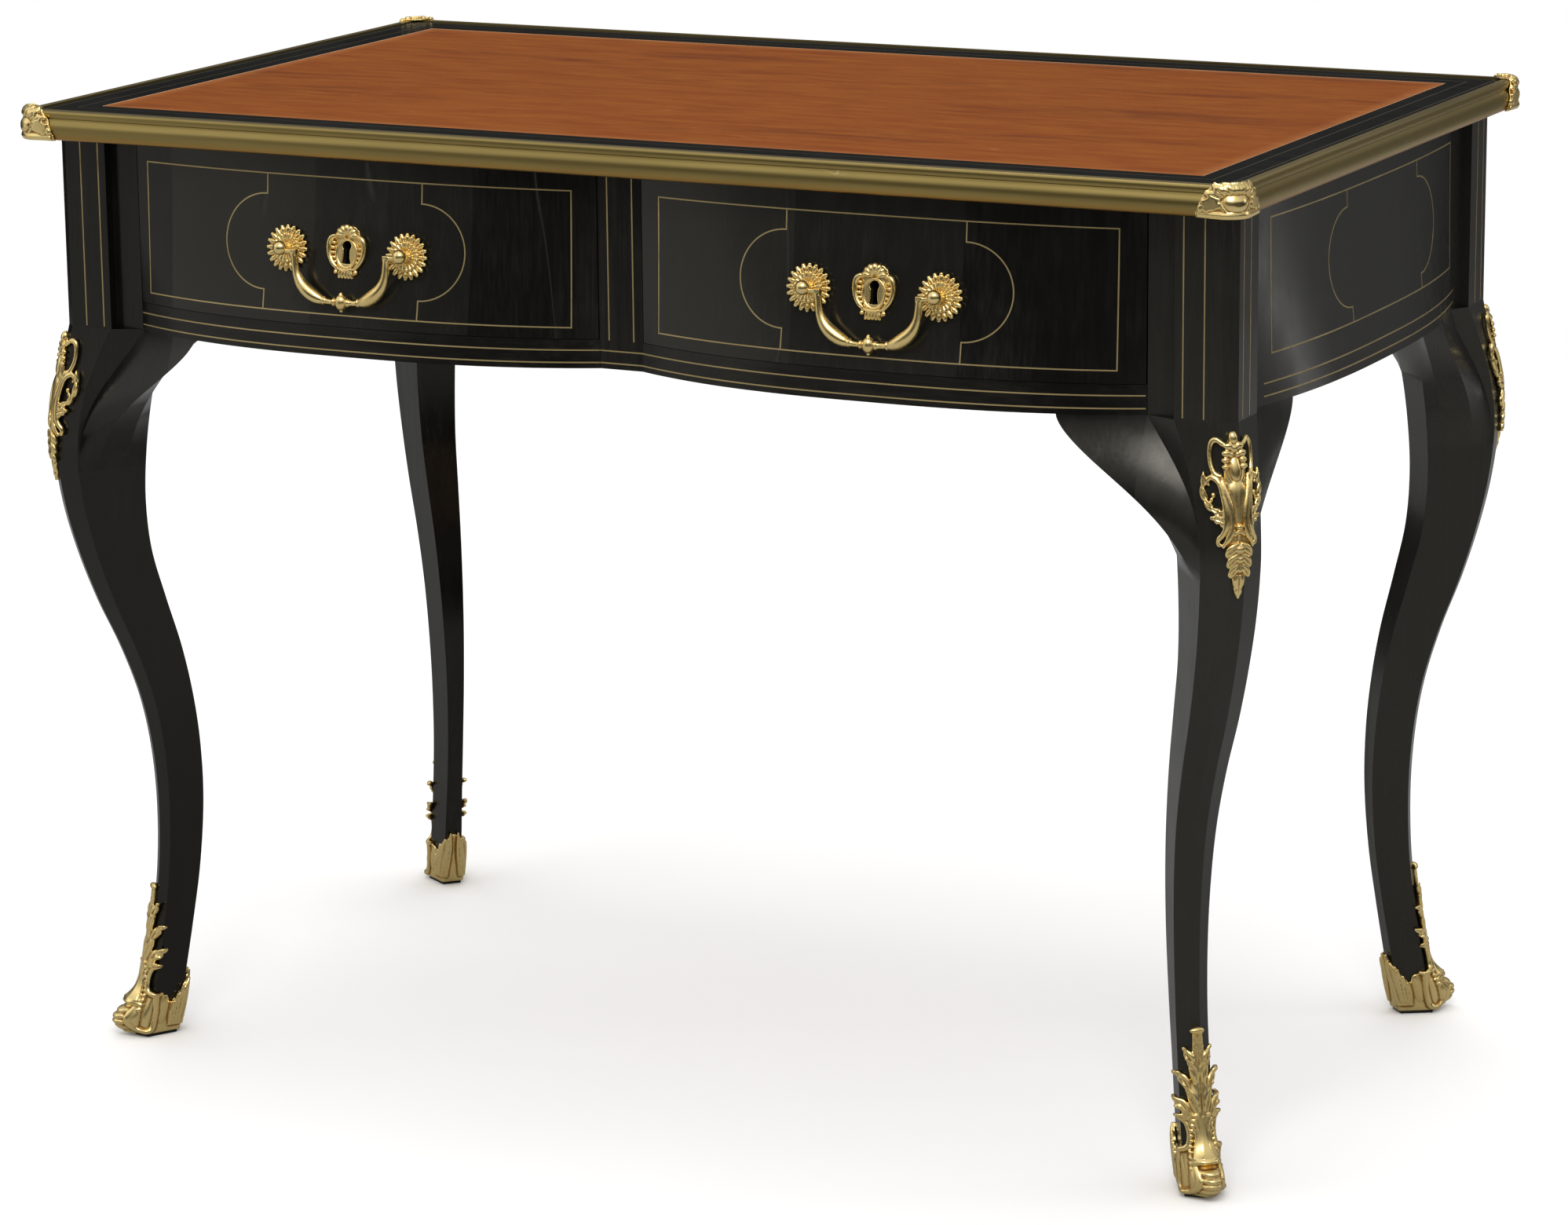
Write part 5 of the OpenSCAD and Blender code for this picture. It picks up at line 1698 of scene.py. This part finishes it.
@dataclass
class KneeMount:
    """Mount on a knee, drawn round the leg from its ridge and up from its own foot, its left half first."""

    foot: float = 469.5
    narrow: float = 0.84
    relief: float = 0.85

    def bed(self, across: float, up: float, out: float) -> Vector:
        """Place on or over the knee."""
        return leg_bed(across * self.narrow, self.foot + up, out * self.relief)

    def shape(self) -> BMesh:
        """Ears and a boss above, scrolls at the sides, a smooth body and a husk below."""
        carving = Carving()
        self.sides(carving)
        carving.twin()
        self.middle(carving)
        return carving.laid(self.bed)

    def sides(self, carving: Carving) -> None:
        """Carve one side of the mount into a carving."""
        ear = (
            (-7.0, 109.5, 2.6, 1.6), (-12.5, 113.4, 3.0, 2.2), (-17.6, 111.2, 3.0, 2.3),
            (-20.0, 104.5, 2.8, 2.2), (-19.8, 96.0, 2.6, 2.3), (-16.8, 89.4, 2.6, 2.5),
            (-11.0, 87.4, 2.6, 2.2),
        )
        carving.rope(ear, steps=60)
        outer = (
            (-22.6, 80.8, 2.6, 1.3), (-24.2, 84.4, 2.8, 1.8), (-19.6, 86.8, 3.2, 2.2),
            (-13.4, 83.0, 3.6, 2.4), (-11.0, 74.0, 3.8, 2.2), (-9.2, 62.0, 4.0, 2.2),
            (-9.9, 52.0, 4.0, 2.3), (-12.8, 46.6, 3.6, 2.4), (-16.4, 43.4, 3.2, 2.2),
            (-16.6, 39.8, 3.2, 1.8), (-14.2, 39.4, 3.4, 1.3),
        )
        carving.rope(outer, steps=90)
        inner = (
            (-11.6, 88.0, 2.6, 1.2), (-9.8, 82.4, 3.2, 1.4), (-8.2, 75.0, 3.6, 1.4), (-6.2, 65.2, 4.0, 1.4),
            (-5.4, 56.0, 4.2, 1.5), (-6.8, 47.8, 4.2, 1.7), (-9.4, 42.0, 4.0, 1.8), (-12.8, 37.8, 3.4, 1.7),
        )
        carving.rope(inner, steps=80)
        edge = (
            (-26.0, 91.0, 3.4, 0.6), (-27.0, 85.0, 2.8, 2.6), (-28.6, 77.6, 2.4, 3.4),
            (-26.4, 70.2, 2.4, 3.3), (-21.4, 65.0, 2.4, 3.0), (-14.6, 62.8, 2.4, 2.6),
            (-9.0, 63.4, 2.2, 2.2),
        )
        carving.leaf(edge, 3.0, lobes=5, cut=0.45, ridge=0.9, steps=60)
        fan = (
            (-8.0, 55.5, 2.4, 3.6), (-13.0, 57.0, 3.0, 5.0), (-18.4, 58.2, 3.0, 3.6),
            (-23.2, 58.6, 3.6, 0.7),
        )
        carving.leaf(fan, 2.8, lobes=3, cut=0.4, ridge=0.9, steps=34)
        carving.bead((-19.4, 74.6, 2.8), 2.1)
        carving.bead((-21.4, 71.2, 2.6), 1.7)
        for across, up, size in (
            (4.2, 109.0, 3.3), (6.4, 104.0, 2.7), (7.2, 99.2, 2.3), (7.6, 94.6, 2.0), (3.0, 103.0, 2.4),
        ):
            carving.bead((-across, up, 3.4), size, (1.1, 0.9, 1))
        for up, half in ((35.5, 8.8), (28.0, 7.8), (20.8, 6.6)):
            tier = (
                (-0.6, up + 4.6, 3.2, 2.8), (-half * 0.55, up + 2.4, 3.8, 3.2), (-half, up - 2.6, 2.8, 2.2),
                (-half - 0.3, up - 5.0, 2.2, 0.6),
            )
            carving.leaf(tier, 2.6, lobes=1, cut=0.2, ridge=0.4, steps=24)

    def middle(self, carving: Carving) -> None:
        """Carve what lies on the ridge of the knee into a carving."""
        carving.bead((0, 114.6, 3.2), 4.3, (0.95, 1.15, 0.9))
        carving.bead((0, 107.4, 3.8), 3.4, (1.2, 0.9, 0.9))
        plate = (
            (0, 118, 0.6, 2.4), (0, 109, 0.8, 6.0), (0, 99, 0.9, 8.4), (0, 88, 1.0, 9.6), (0, 76, 1.0, 7.4),
            (0, 62, 1.0, 6.0), (0, 50, 1.0, 7.0), (0, 40, 1.0, 9.4), (0, 30, 1.0, 8.8), (0, 20, 1.0, 7.2),
            (0, 12, 0.9, 5.2), (0, 5, 0.8, 3.4), (0, 0.5, 0.6, 1.2),
        )
        carving.leaf(plate, 2.2, lobes=0.001, cut=0, ridge=0.1, sweep=0, steps=60)
        carving.bead((0, 92.6, 2.2), 5.3, (1, 1.85, 0.75))
        carving.ring((0, 92.6, 2.4), (7.0, 11.4), 1.3)
        vase = ((0, 86, 1.4, 5.4), (0, 79, 1.9, 7.6), (0, 70, 2.1, 6.4), (0, 61, 2.1, 4.6), (0, 54, 1.9, 3.6))
        carving.rope(vase, flat=0.45, steps=40)
        carving.bead((0, 52.6, 4.6), 2.5, (1.3, 0.9, 1))
        carving.rope(((-4.6, 46.5, 3.8, 1.2), (0, 49.6, 5.2, 1.7), (4.6, 46.5, 3.8, 1.2)), steps=16)
        carving.rope(((0, 49, 3.2, 1.4), (0.01, 41, 2.8, 1.2)), steps=8)
        for up, half in ((36.4, 4.6), (29.0, 4.0), (21.8, 3.4)):
            carving.bead((0, up, 3.2), half, (1.15, 0.75, 0.9))
        tip = ((0, 18, 1.8, 5.8), (0, 12, 1.8, 5.4), (0, 6, 1.6, 4.0), (0, 1.6, 1.3, 2.0), (0, 0, 1.0, 1.0))
        carving.leaf(tip, 2.8, lobes=3, cut=0.28, ridge=0.5, steps=40)


@dataclass
class FootMount:
    """Gilt shoe of a leg, with a leaf up its ridge, a curled toe and a crown round the heel."""

    pad: float = 3.0
    wall: float = 2.2
    toe_reach: float = 17.0
    toe_height: float = 15.0

    def toe(self, across: float, up: float) -> float:
        """How far the toe pushes a place outward along the diagonal."""
        return self.toe_reach * swell(up, self.toe_height, 14.0) * swell(across, 0, 13.0)

    def bed(self, across: float, up: float, out: float) -> Vector:
        """Place on or over the shoe."""
        push = self.toe(across, up) * math.sqrt(0.5)
        return leg_bed(across, up, out) + Vector((push, push, 0))

    def climb(self, share: float) -> float:
        """Height of the shoe at a share of the way round from the ridge to the heel."""
        rows = (
            (0.0, 62.0), (0.1, 56.0), (0.2, 40.0), (0.3, 35.5), (0.42, 37.0), (0.52, 33.0), (0.6, 27.0),
            (0.7, 32.0), (0.85, 45.0), (1.0, 50.0),
        )
        for (a, low), (b, high) in zip(rows, rows[1:]):
            if share <= b:
                return mix(low, high, (share - a) / (b - a))
        return rows[-1][1]

    def shape(self) -> BMesh:
        """Shoe and its carving."""
        shape = bmesh.new()
        add_shape(shape, self.shoe())
        carving = Carving()
        self.leaves(carving)
        carving.twin()
        self.ridge(carving)
        add_shape(shape, carving.laid(self.bed))
        return shape

    def half_girth(self, up: float) -> float:
        """Half the way round the leg at a height."""
        line = FORM.outer_line(float(math.floor(up)), 1)
        return sum(math.dist(a, b) for a, b in zip(line, line[1:]))

    def shoe(self) -> BMesh:
        """Wall of the shoe, open at the top and at the foot."""
        columns, rows = 96, 18

        def place(ring: int, spot: int) -> Vector:
            share = -1 + 2 * ring / columns
            top = self.climb(abs(share))
            outside = spot <= rows
            step = spot if outside else 2 * rows + 1 - spot
            up = mix(self.pad, top, step / rows)
            across = share * self.half_girth(up) * 0.999
            if outside:
                return self.bed(across, up, self.wall)
            return leg_bed(across, up, 0.3)

        return lofted(columns, 2 * rows + 2, place, looped=True)

    def leaves(self, carving: Carving) -> None:
        """Carve one side of the shoe into a carving."""
        for low, high, reach, width in (
            (44, 75, 19, 4.6), (44, 68, 16, 3.0), (62, 94, 16, 4.4), (60, 84, 11, 2.8), (84, 112, 10, 3.6),
            (84, 104, 8, 2.4), (56, 61, 17, 2.8),
        ):
            rows = (
                (-2.5, low, 1.6, width * 0.7), (-reach * 0.35, mix(low, high, 0.5), 2.2, width),
                (-reach * 0.72, mix(low, high, 0.84), 2.6, width * 0.85), (-reach, high, 3.4, 0.9),
            )
            carving.leaf(rows, 2.4, lobes=3, cut=0.35, ridge=0.9, steps=32)
        rim = (
            (-17.0, 60.0, 2.2, 1.6), (-11.0, 55.0, 2.8, 2.0), (-9.0, 46.0, 3.0, 2.2),
            (-11.0, 38.5, 3.0, 2.2), (-17.0, 35.5, 2.8, 2.0), (-22.0, 36.5, 2.6, 1.6),
        )
        carving.rope(rim, steps=44)
        for k in range(11):
            t = k / 10
            carving.bead((mix(-4.0, -11.5, t**0.8), mix(61, 23, t), 3.6), 1.7, (1, 0.9, 1.1))
        cup = (
            (-9.5, 33.5, 2.6, 1.8), (-8.5, 22.0, 3.4, 2.2), (-9.5, 10.0, 3.6, 2.4), (-14.0, 5.2, 3.0, 2.2),
            (-19.0, 7.0, 2.8, 2.0), (-20.0, 18.0, 2.8, 1.8), (-18.5, 30.0, 2.8, 1.8),
            (-17.0, 35.5, 2.8, 1.6),
        )
        carving.rope(cup, steps=60)
        for place, up, half in ((-25.0, 22.0, 5.6), (-36.0, 18.0, 5.2)):
            carving.bead((place, up, 1.0), half, (1, 2.3 if place > -30 else 1.9, 0.42))
        for k in range(5):
            t = k / 4
            rows = (
                (mix(-33, -44, t), 8.0, 2.0, 2.0), (mix(-33, -45, t), mix(20, 34, t), 2.6, 2.8),
                (mix(-32, -46, t), mix(29, 52, t), 2.8, 0.8),
            )
            carving.leaf(rows, 2.2, lobes=1, cut=0.2, ridge=0.6, steps=20)

    def ridge(self, carving: Carving) -> None:
        """Carve what lies on the ridge of the foot into a carving."""
        stem = (
            (0, 52.0, 2.2, 6.0), (0, 66.0, 2.0, 5.6), (0, 84.0, 1.8, 4.8), (0, 102.0, 1.6, 4.0),
            (0, 122.0, 1.5, 3.4),
        )
        carving.leaf(stem, 2.4, lobes=0.001, cut=0, ridge=0.1, sweep=0, steps=40)
        for across in (-1.0, -0.36, 0.36, 1.0):
            rib = [(across * 0.75 * half, up, 2.6, 0.95) for _, up, _, half in stem]
            carving.rope(rib, steps=40)
        carving.bead((0, 124.0, 2.4), 3.5, (1.4, 0.85, 0.9))
        trough = (
            (0, 60.0, 2.6, 4.0), (0, 50.0, 3.0, 5.0), (0, 40.0, 3.6, 6.2), (0, 33.0, 4.6, 8.0),
            (0, 29.5, 5.4, 9.5),
        )
        carving.rope(trough, flat=0.45, steps=40)
        curl = (
            (-11, 26.5, 3.2, 1.8), (-5, 29.0, 5.4, 2.3), (0, 29.8, 6.2, 2.5), (5, 29.0, 5.4, 2.3),
            (11, 26.5, 3.2, 1.8),
        )
        carving.rope(curl, steps=30)
        for up in (22.0, 17.0, 12.0, 7.5):
            carving.rope(((-8.5, up, 1.6, 1.6), (0, up, 2.6, 2.5), (8.5, up, 1.6, 1.6)), steps=20)
        for side in (-1, 1):
            edge = ((10.5, 25, 3.0, 1.9), (11.5, 15, 3.2, 2.2), (10.5, 5, 2.6, 1.9))
            carving.rope([(side * across, *rest) for across, *rest in edge], steps=20)


@dataclass
class CornerShell:
    """Gilt shell that folds over a corner of the moulding."""

    turn: float = 14.0
    thickness: float = 1.2
    lowest: float = -0.4
    highest: float = 25.8
    furthest: float = 13.3
    outline: tuple[Point, ...] = (
        (1.0, 29.5), (6.0, 31.0), (12.0, 28.5), (20.0, 24.0), (27.0, 17.0), (31.0, 10.0), (34.0, 3.0),
    )
    profile: tuple[Point, ...] = (
        (7.2, -0.3), (9.3, 1.4), (10.3, 4.6), (10.6, 8.4), (10.3, 11.8), (9.4, 14.6), (8.8, 17.6),
        (8.6, 20.4), (7.4, 22.6), (4.2, 23.2), (-0.2, 23.0), (-4.6, 22.6), (-9.0, 22.4),
    )
    pitch: float = 3.4

    def bed(self, across: float, up: float, out: float) -> Vector:
        """Place on or over the moulding's corner.

        Args:
            across: Distance round the corner, positive along the back and negative along the end.
            up: Distance along the outline of the moulding from its foot, past its top onto the border.
            out: Distance over it.

        Returns:
            The place.
        """
        share = min(max(up / self.pitch, 0.0), len(self.profile) - 1.001) / (len(self.profile) - 1)
        reach, height = along_curve(self.profile, share)
        ahead = along_curve(self.profile, min(1.0, share + 0.02))
        behind = along_curve(self.profile, max(0.0, share - 0.02))
        slope = Vector((ahead[0] - behind[0], ahead[1] - behind[1])).normalized()
        flat = min(reach + slope.y * out, self.furthest)
        level = min(max(height - slope.x * out, self.lowest), self.highest)
        quarter = self.turn * math.pi / 4
        middle = Vector((FORM.board_half[0] + reach - self.turn, FORM.board_half[1] + reach - self.turn))
        radius = self.turn + flat - reach
        angle = math.pi / 4 + min(max(across, -quarter), quarter) / self.turn
        past = max(0.0, abs(across) - quarter)
        x = middle.x + radius * math.cos(angle) - (past if across > 0 else 0.0)
        y = middle.y + radius * math.sin(angle) - (past if across < 0 else 0.0)
        return Vector((x, y, FORM.under_top + level))

    def half_width(self, up: float) -> float:
        """Half the width of the shell at a distance along the outline of the moulding."""
        for (a, wide), (b, narrow) in zip(self.outline, self.outline[1:]):
            if up <= b:
                return mix(wide, narrow, (up - a) / (b - a))
        return self.outline[-1][1]

    def shape(self) -> BMesh:
        """Smooth boss in an oval rim, a rolled lip at the foot, and leaves and beads round them."""
        carving = Carving()
        rings, half = 40, 28

        def place(ring: int, spot: int) -> Vector:
            up = mix(self.outline[0][0], self.outline[-1][0], ring / (rings - 1))
            upper = spot <= 2 * half
            s = (spot - half) / half if upper else (3 * half - spot) / half
            return Vector((s * self.half_width(up), up, self.thickness if upper else 0.1))

        add_shape(carving.shape, lofted(rings, 4 * half, place))
        lip = (
            (-28.5, 5.0, 0.0, 3.2), (-14, 4.6, 0.0, 3.4), (0, 4.4, 0.0, 3.5), (14, 4.6, 0.0, 3.4),
            (28.5, 5.0, 0.0, 3.2),
        )
        carving.rope(lip, steps=60)
        carving.bead((0, 14.2, 0.1), 8.0, (1.3, 1.0, 0.37))
        carving.ring((0, 14.4, 0.9), (12.0, 9.4), 1.2)
        sides = Carving()
        for turn, start, end, width in (
            (6, 12.0, 26.0, 3.8), (27, 12.0, 25.0, 4.2), (48, 11.5, 23.0, 4.2), (68, 10.5, 20.5, 3.8),
            (85, 9.6, 18.6, 3.2),
        ):
            c, s = math.cos(math.radians(turn)), math.sin(math.radians(turn))
            rows = [
                (-mix(start, end, t) * c, 10.0 + mix(start, end, t) * s, out, width * share)
                for t, out, share in ((0.0, 1.2, 0.7), (0.35, 2.2, 1.0), (0.7, 2.4, 1.0), (1.0, 1.3, 0.45))
            ]
            sides.leaf(rows, 1.8, lobes=1.5, cut=0.25, ridge=0.5, steps=26)
            sides.bead(rows[2][:3], width * 0.72, (1, 1, 0.6))
        for across, up, size in (
            (-17.0, 10.6, 2.8), (-22.0, 9.4, 3.2), (-26.6, 9.0, 2.6), (-18.5, 15.5, 2.6),
        ):
            sides.bead((across, up, 1.2), size, (1.1, 1, 0.7))
        for turn in (18, 38, 56, 74):
            c, s = math.cos(math.radians(turn)), math.sin(math.radians(turn))
            sides.bead((-15.0 * c, 10.0 + 12.5 * s, 1.8), 1.5)
        sides.twin()
        add_shape(carving.shape, sides.shape)
        return carving.laid(self.bed)


@dataclass
class Mounts:
    """Knee mounts, foot mounts and corner shells."""

    finishes: Finishes

    def build(self) -> None:
        """Cast each mount once and mirror it to the four corners."""
        mounts = {"chute": (KneeMount(), 0.52), "sabot": (FootMount(), 0.62), "clasp": (CornerShell(), 0.45)}
        for kind, (mount, grain) in mounts.items():
            skin = cast(mount.shape(), grain)
            for corner in Corner:
                place_cast(f"{kind}_{corner.label}", skin, corner.signs, "carcass", self.finishes.gilt)


@dataclass
class Boards:
    """Pieces whose shape the model already has: they get their finishes."""

    finishes: Finishes

    def build(self) -> None:
        """Give each of them its material."""
        deep, across = self.finishes.deep_oak, self.finishes.across_oak
        upright, black = self.finishes.upright_wood, self.finishes.across_wood
        steel = self.finishes.steel
        kinds = {
            "centre_divider": deep, "centre_runner": deep, "outer_runner": deep, "drawer_inner_side": deep,
            "drawer_outer_side": deep, "drawer_back": across, "drawer_bottom": across, "top_board": across,
            "lock_case": steel, "lock_bolt": steel, "front_rail": black, "back_rail": black,
            "front_centre_stile": upright, "back_centre_stile": upright, "back_panel": upright,
            "side_panel": upright, "drawer_front": upright,
        }
        for name, node in frame["nodes"].items():
            kind = next((key for key in kinds if name.startswith(key)), None)
            if kind is None:
                continue
            node.data.materials.clear()
            node.data.materials.append(kinds[kind])


@dataclass(frozen=True)
class Lamp:
    """Soft box that faces a target, in metres and watts."""

    name: str
    place: Triple
    target: Triple
    size: Point
    power: float

    def build(self) -> None:
        """Hang the lamp."""
        data = bpy.data.lights.new(self.name, "AREA")
        data.shape = "RECTANGLE"
        data.size, data.size_y = self.size
        data.energy = self.power
        lamp = bpy.data.objects.new(self.name, data)
        lamp.location = self.place
        lamp.rotation_euler = (Vector(self.target) - Vector(self.place)).to_track_quat("-Z", "Y").to_euler()
        bpy.context.collection.objects.link(lamp)


@dataclass
class Studio:
    """Pale floor, soft light and the camera."""

    camera_place: Triple = (1.83317, -3.70766, 1.344)
    yaw: float = -0.458953
    pitch: float = 0.23666
    roll: float = -0.009873
    lens: float = 120.37
    sensor: float = 36.0
    floor_half: float = 3.0
    floor_tones: Point = (0.965, 0.98)
    dim_tone: float = 0.05
    dim_share: float = 0.72
    lamps: tuple[Lamp, ...] = (
        Lamp("key", (0.9, -2.3, 2.9), (0, 0, 0.6), (1.5, 1.0), 36),
        Lamp("left", (-2.3, -1.9, 1.0), (0, 0, 0.6), (1.9, 1.9), 4),
        Lamp("over", (-0.3, 0.5, 3.2), (0, 0, 0.6), (1.8, 1.4), 26),
        Lamp("right", (2.9, 1.3, 1.5), (0, 0, 0.5), (0.7, 1.2), 4),
        Lamp("strip", (2.22, 2.257, 0.22), (0.5, -0.2, 0.65), (0.10, 0.4), 0.45),
    )

    def build(self) -> None:
        """Set the stage."""
        self.camera()
        self.floor()
        self.world()
        bpy.context.scene.view_settings.view_transform = "Standard"
        for lamp in self.lamps:
            lamp.build()

    def camera(self) -> None:
        """Camera at the photograph's viewpoint."""
        cy, sy, cp, sp = math.cos(self.yaw), math.sin(self.yaw), math.cos(self.pitch), math.sin(self.pitch)
        ahead = Vector((sy * cp, cy * cp, -sp))
        right = Vector((cy, -sy, 0))
        up = right.cross(ahead)
        cr, sr = math.cos(self.roll), math.sin(self.roll)
        right, up = right * cr + up * sr, up * cr - right * sr
        data = bpy.data.cameras.new("camera")
        data.lens = self.lens
        data.sensor_width = self.sensor
        data.clip_start, data.clip_end = 0.1, 50
        camera = bpy.data.objects.new("camera", data)
        turn = Matrix((right, up, -ahead)).transposed().to_4x4()
        camera.matrix_world = Matrix.Translation(self.camera_place) @ turn
        bpy.context.collection.objects.link(camera)
        bpy.context.scene.camera = camera

    def floor(self) -> None:
        """Plain pale floor, darker in reflections."""
        shape = bmesh.new()
        bmesh.ops.create_grid(shape, x_segments=2, y_segments=2, size=self.floor_half)
        mesh = bpy.data.meshes.new("floor")
        shape.to_mesh(mesh)
        shape.free()
        floor = bpy.data.objects.new("floor", mesh)
        bpy.context.collection.objects.link(floor)
        made, graph = start_material("floor", Roughness=0.7, Specular_IOR_Level=0.1)
        haze = graph.noise(object_vector(graph), 3.0)
        low, high = ([tone] * 3 for tone in self.floor_tones)
        colour = graph.blend(graph.span(haze, 0.3, 0.7), low, high)
        share = graph.times(graph.node("LightPath").outputs["Is Glossy Ray"], self.dim_share)
        graph.fill(graph.tree.nodes[SHADER], {"Base Color": graph.blend(share, colour, [self.dim_tone] * 3)})
        mesh.materials.append(made)

    def world(self) -> None:
        """White room that lights evenly, with a darker one in reflections, paler overhead and to the left."""
        world = bpy.data.worlds.new("studio")
        world.use_nodes = True
        bpy.context.scene.world = world
        graph = Graph(world.node_tree)
        way = graph.node("SeparateXYZ", {"Vector": graph.node("TexCoord").outputs["Generated"]}).outputs
        low = graph.span(way["Z"], 0.12, 0.5, (0.02, 0.75))
        height = graph.times(low, graph.span(way["Y"], -0.3, 0.5, (1.0, 0.5)))
        side = graph.span(way["X"], -0.3, -0.9, (0.0, 0.16))
        front = graph.span(way["Y"], 0.2, -0.2)
        back_right = graph.times(graph.span(way["Y"], 0.4, 0.9, (0.0, 0.16)), graph.span(way["X"], 0.1, 0.4))
        room = graph.sum(graph.sum(height, graph.times(side, front)), back_right)
        glossy = graph.node("LightPath").outputs["Is Glossy Ray"]
        back = world.node_tree.nodes["Background"]
        share = graph.times(glossy, graph.less(room, 1.0))
        graph.fill(back, {"Color": (1, 1, 1, 1), "Strength": graph.sum(share, 1.0)})


def main() -> None:
    """Build the table and its studio."""
    logging.basicConfig(level=logging.INFO, format="%(message)s")
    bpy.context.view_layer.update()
    Studio().build()
    finishes = Finishes()
    for assembly in (Boards, Legs, Veneers, Stringing, Top, Handles, Mounts):
        assembly(finishes).build()


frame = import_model()

if __name__ == "__main__":
    main()
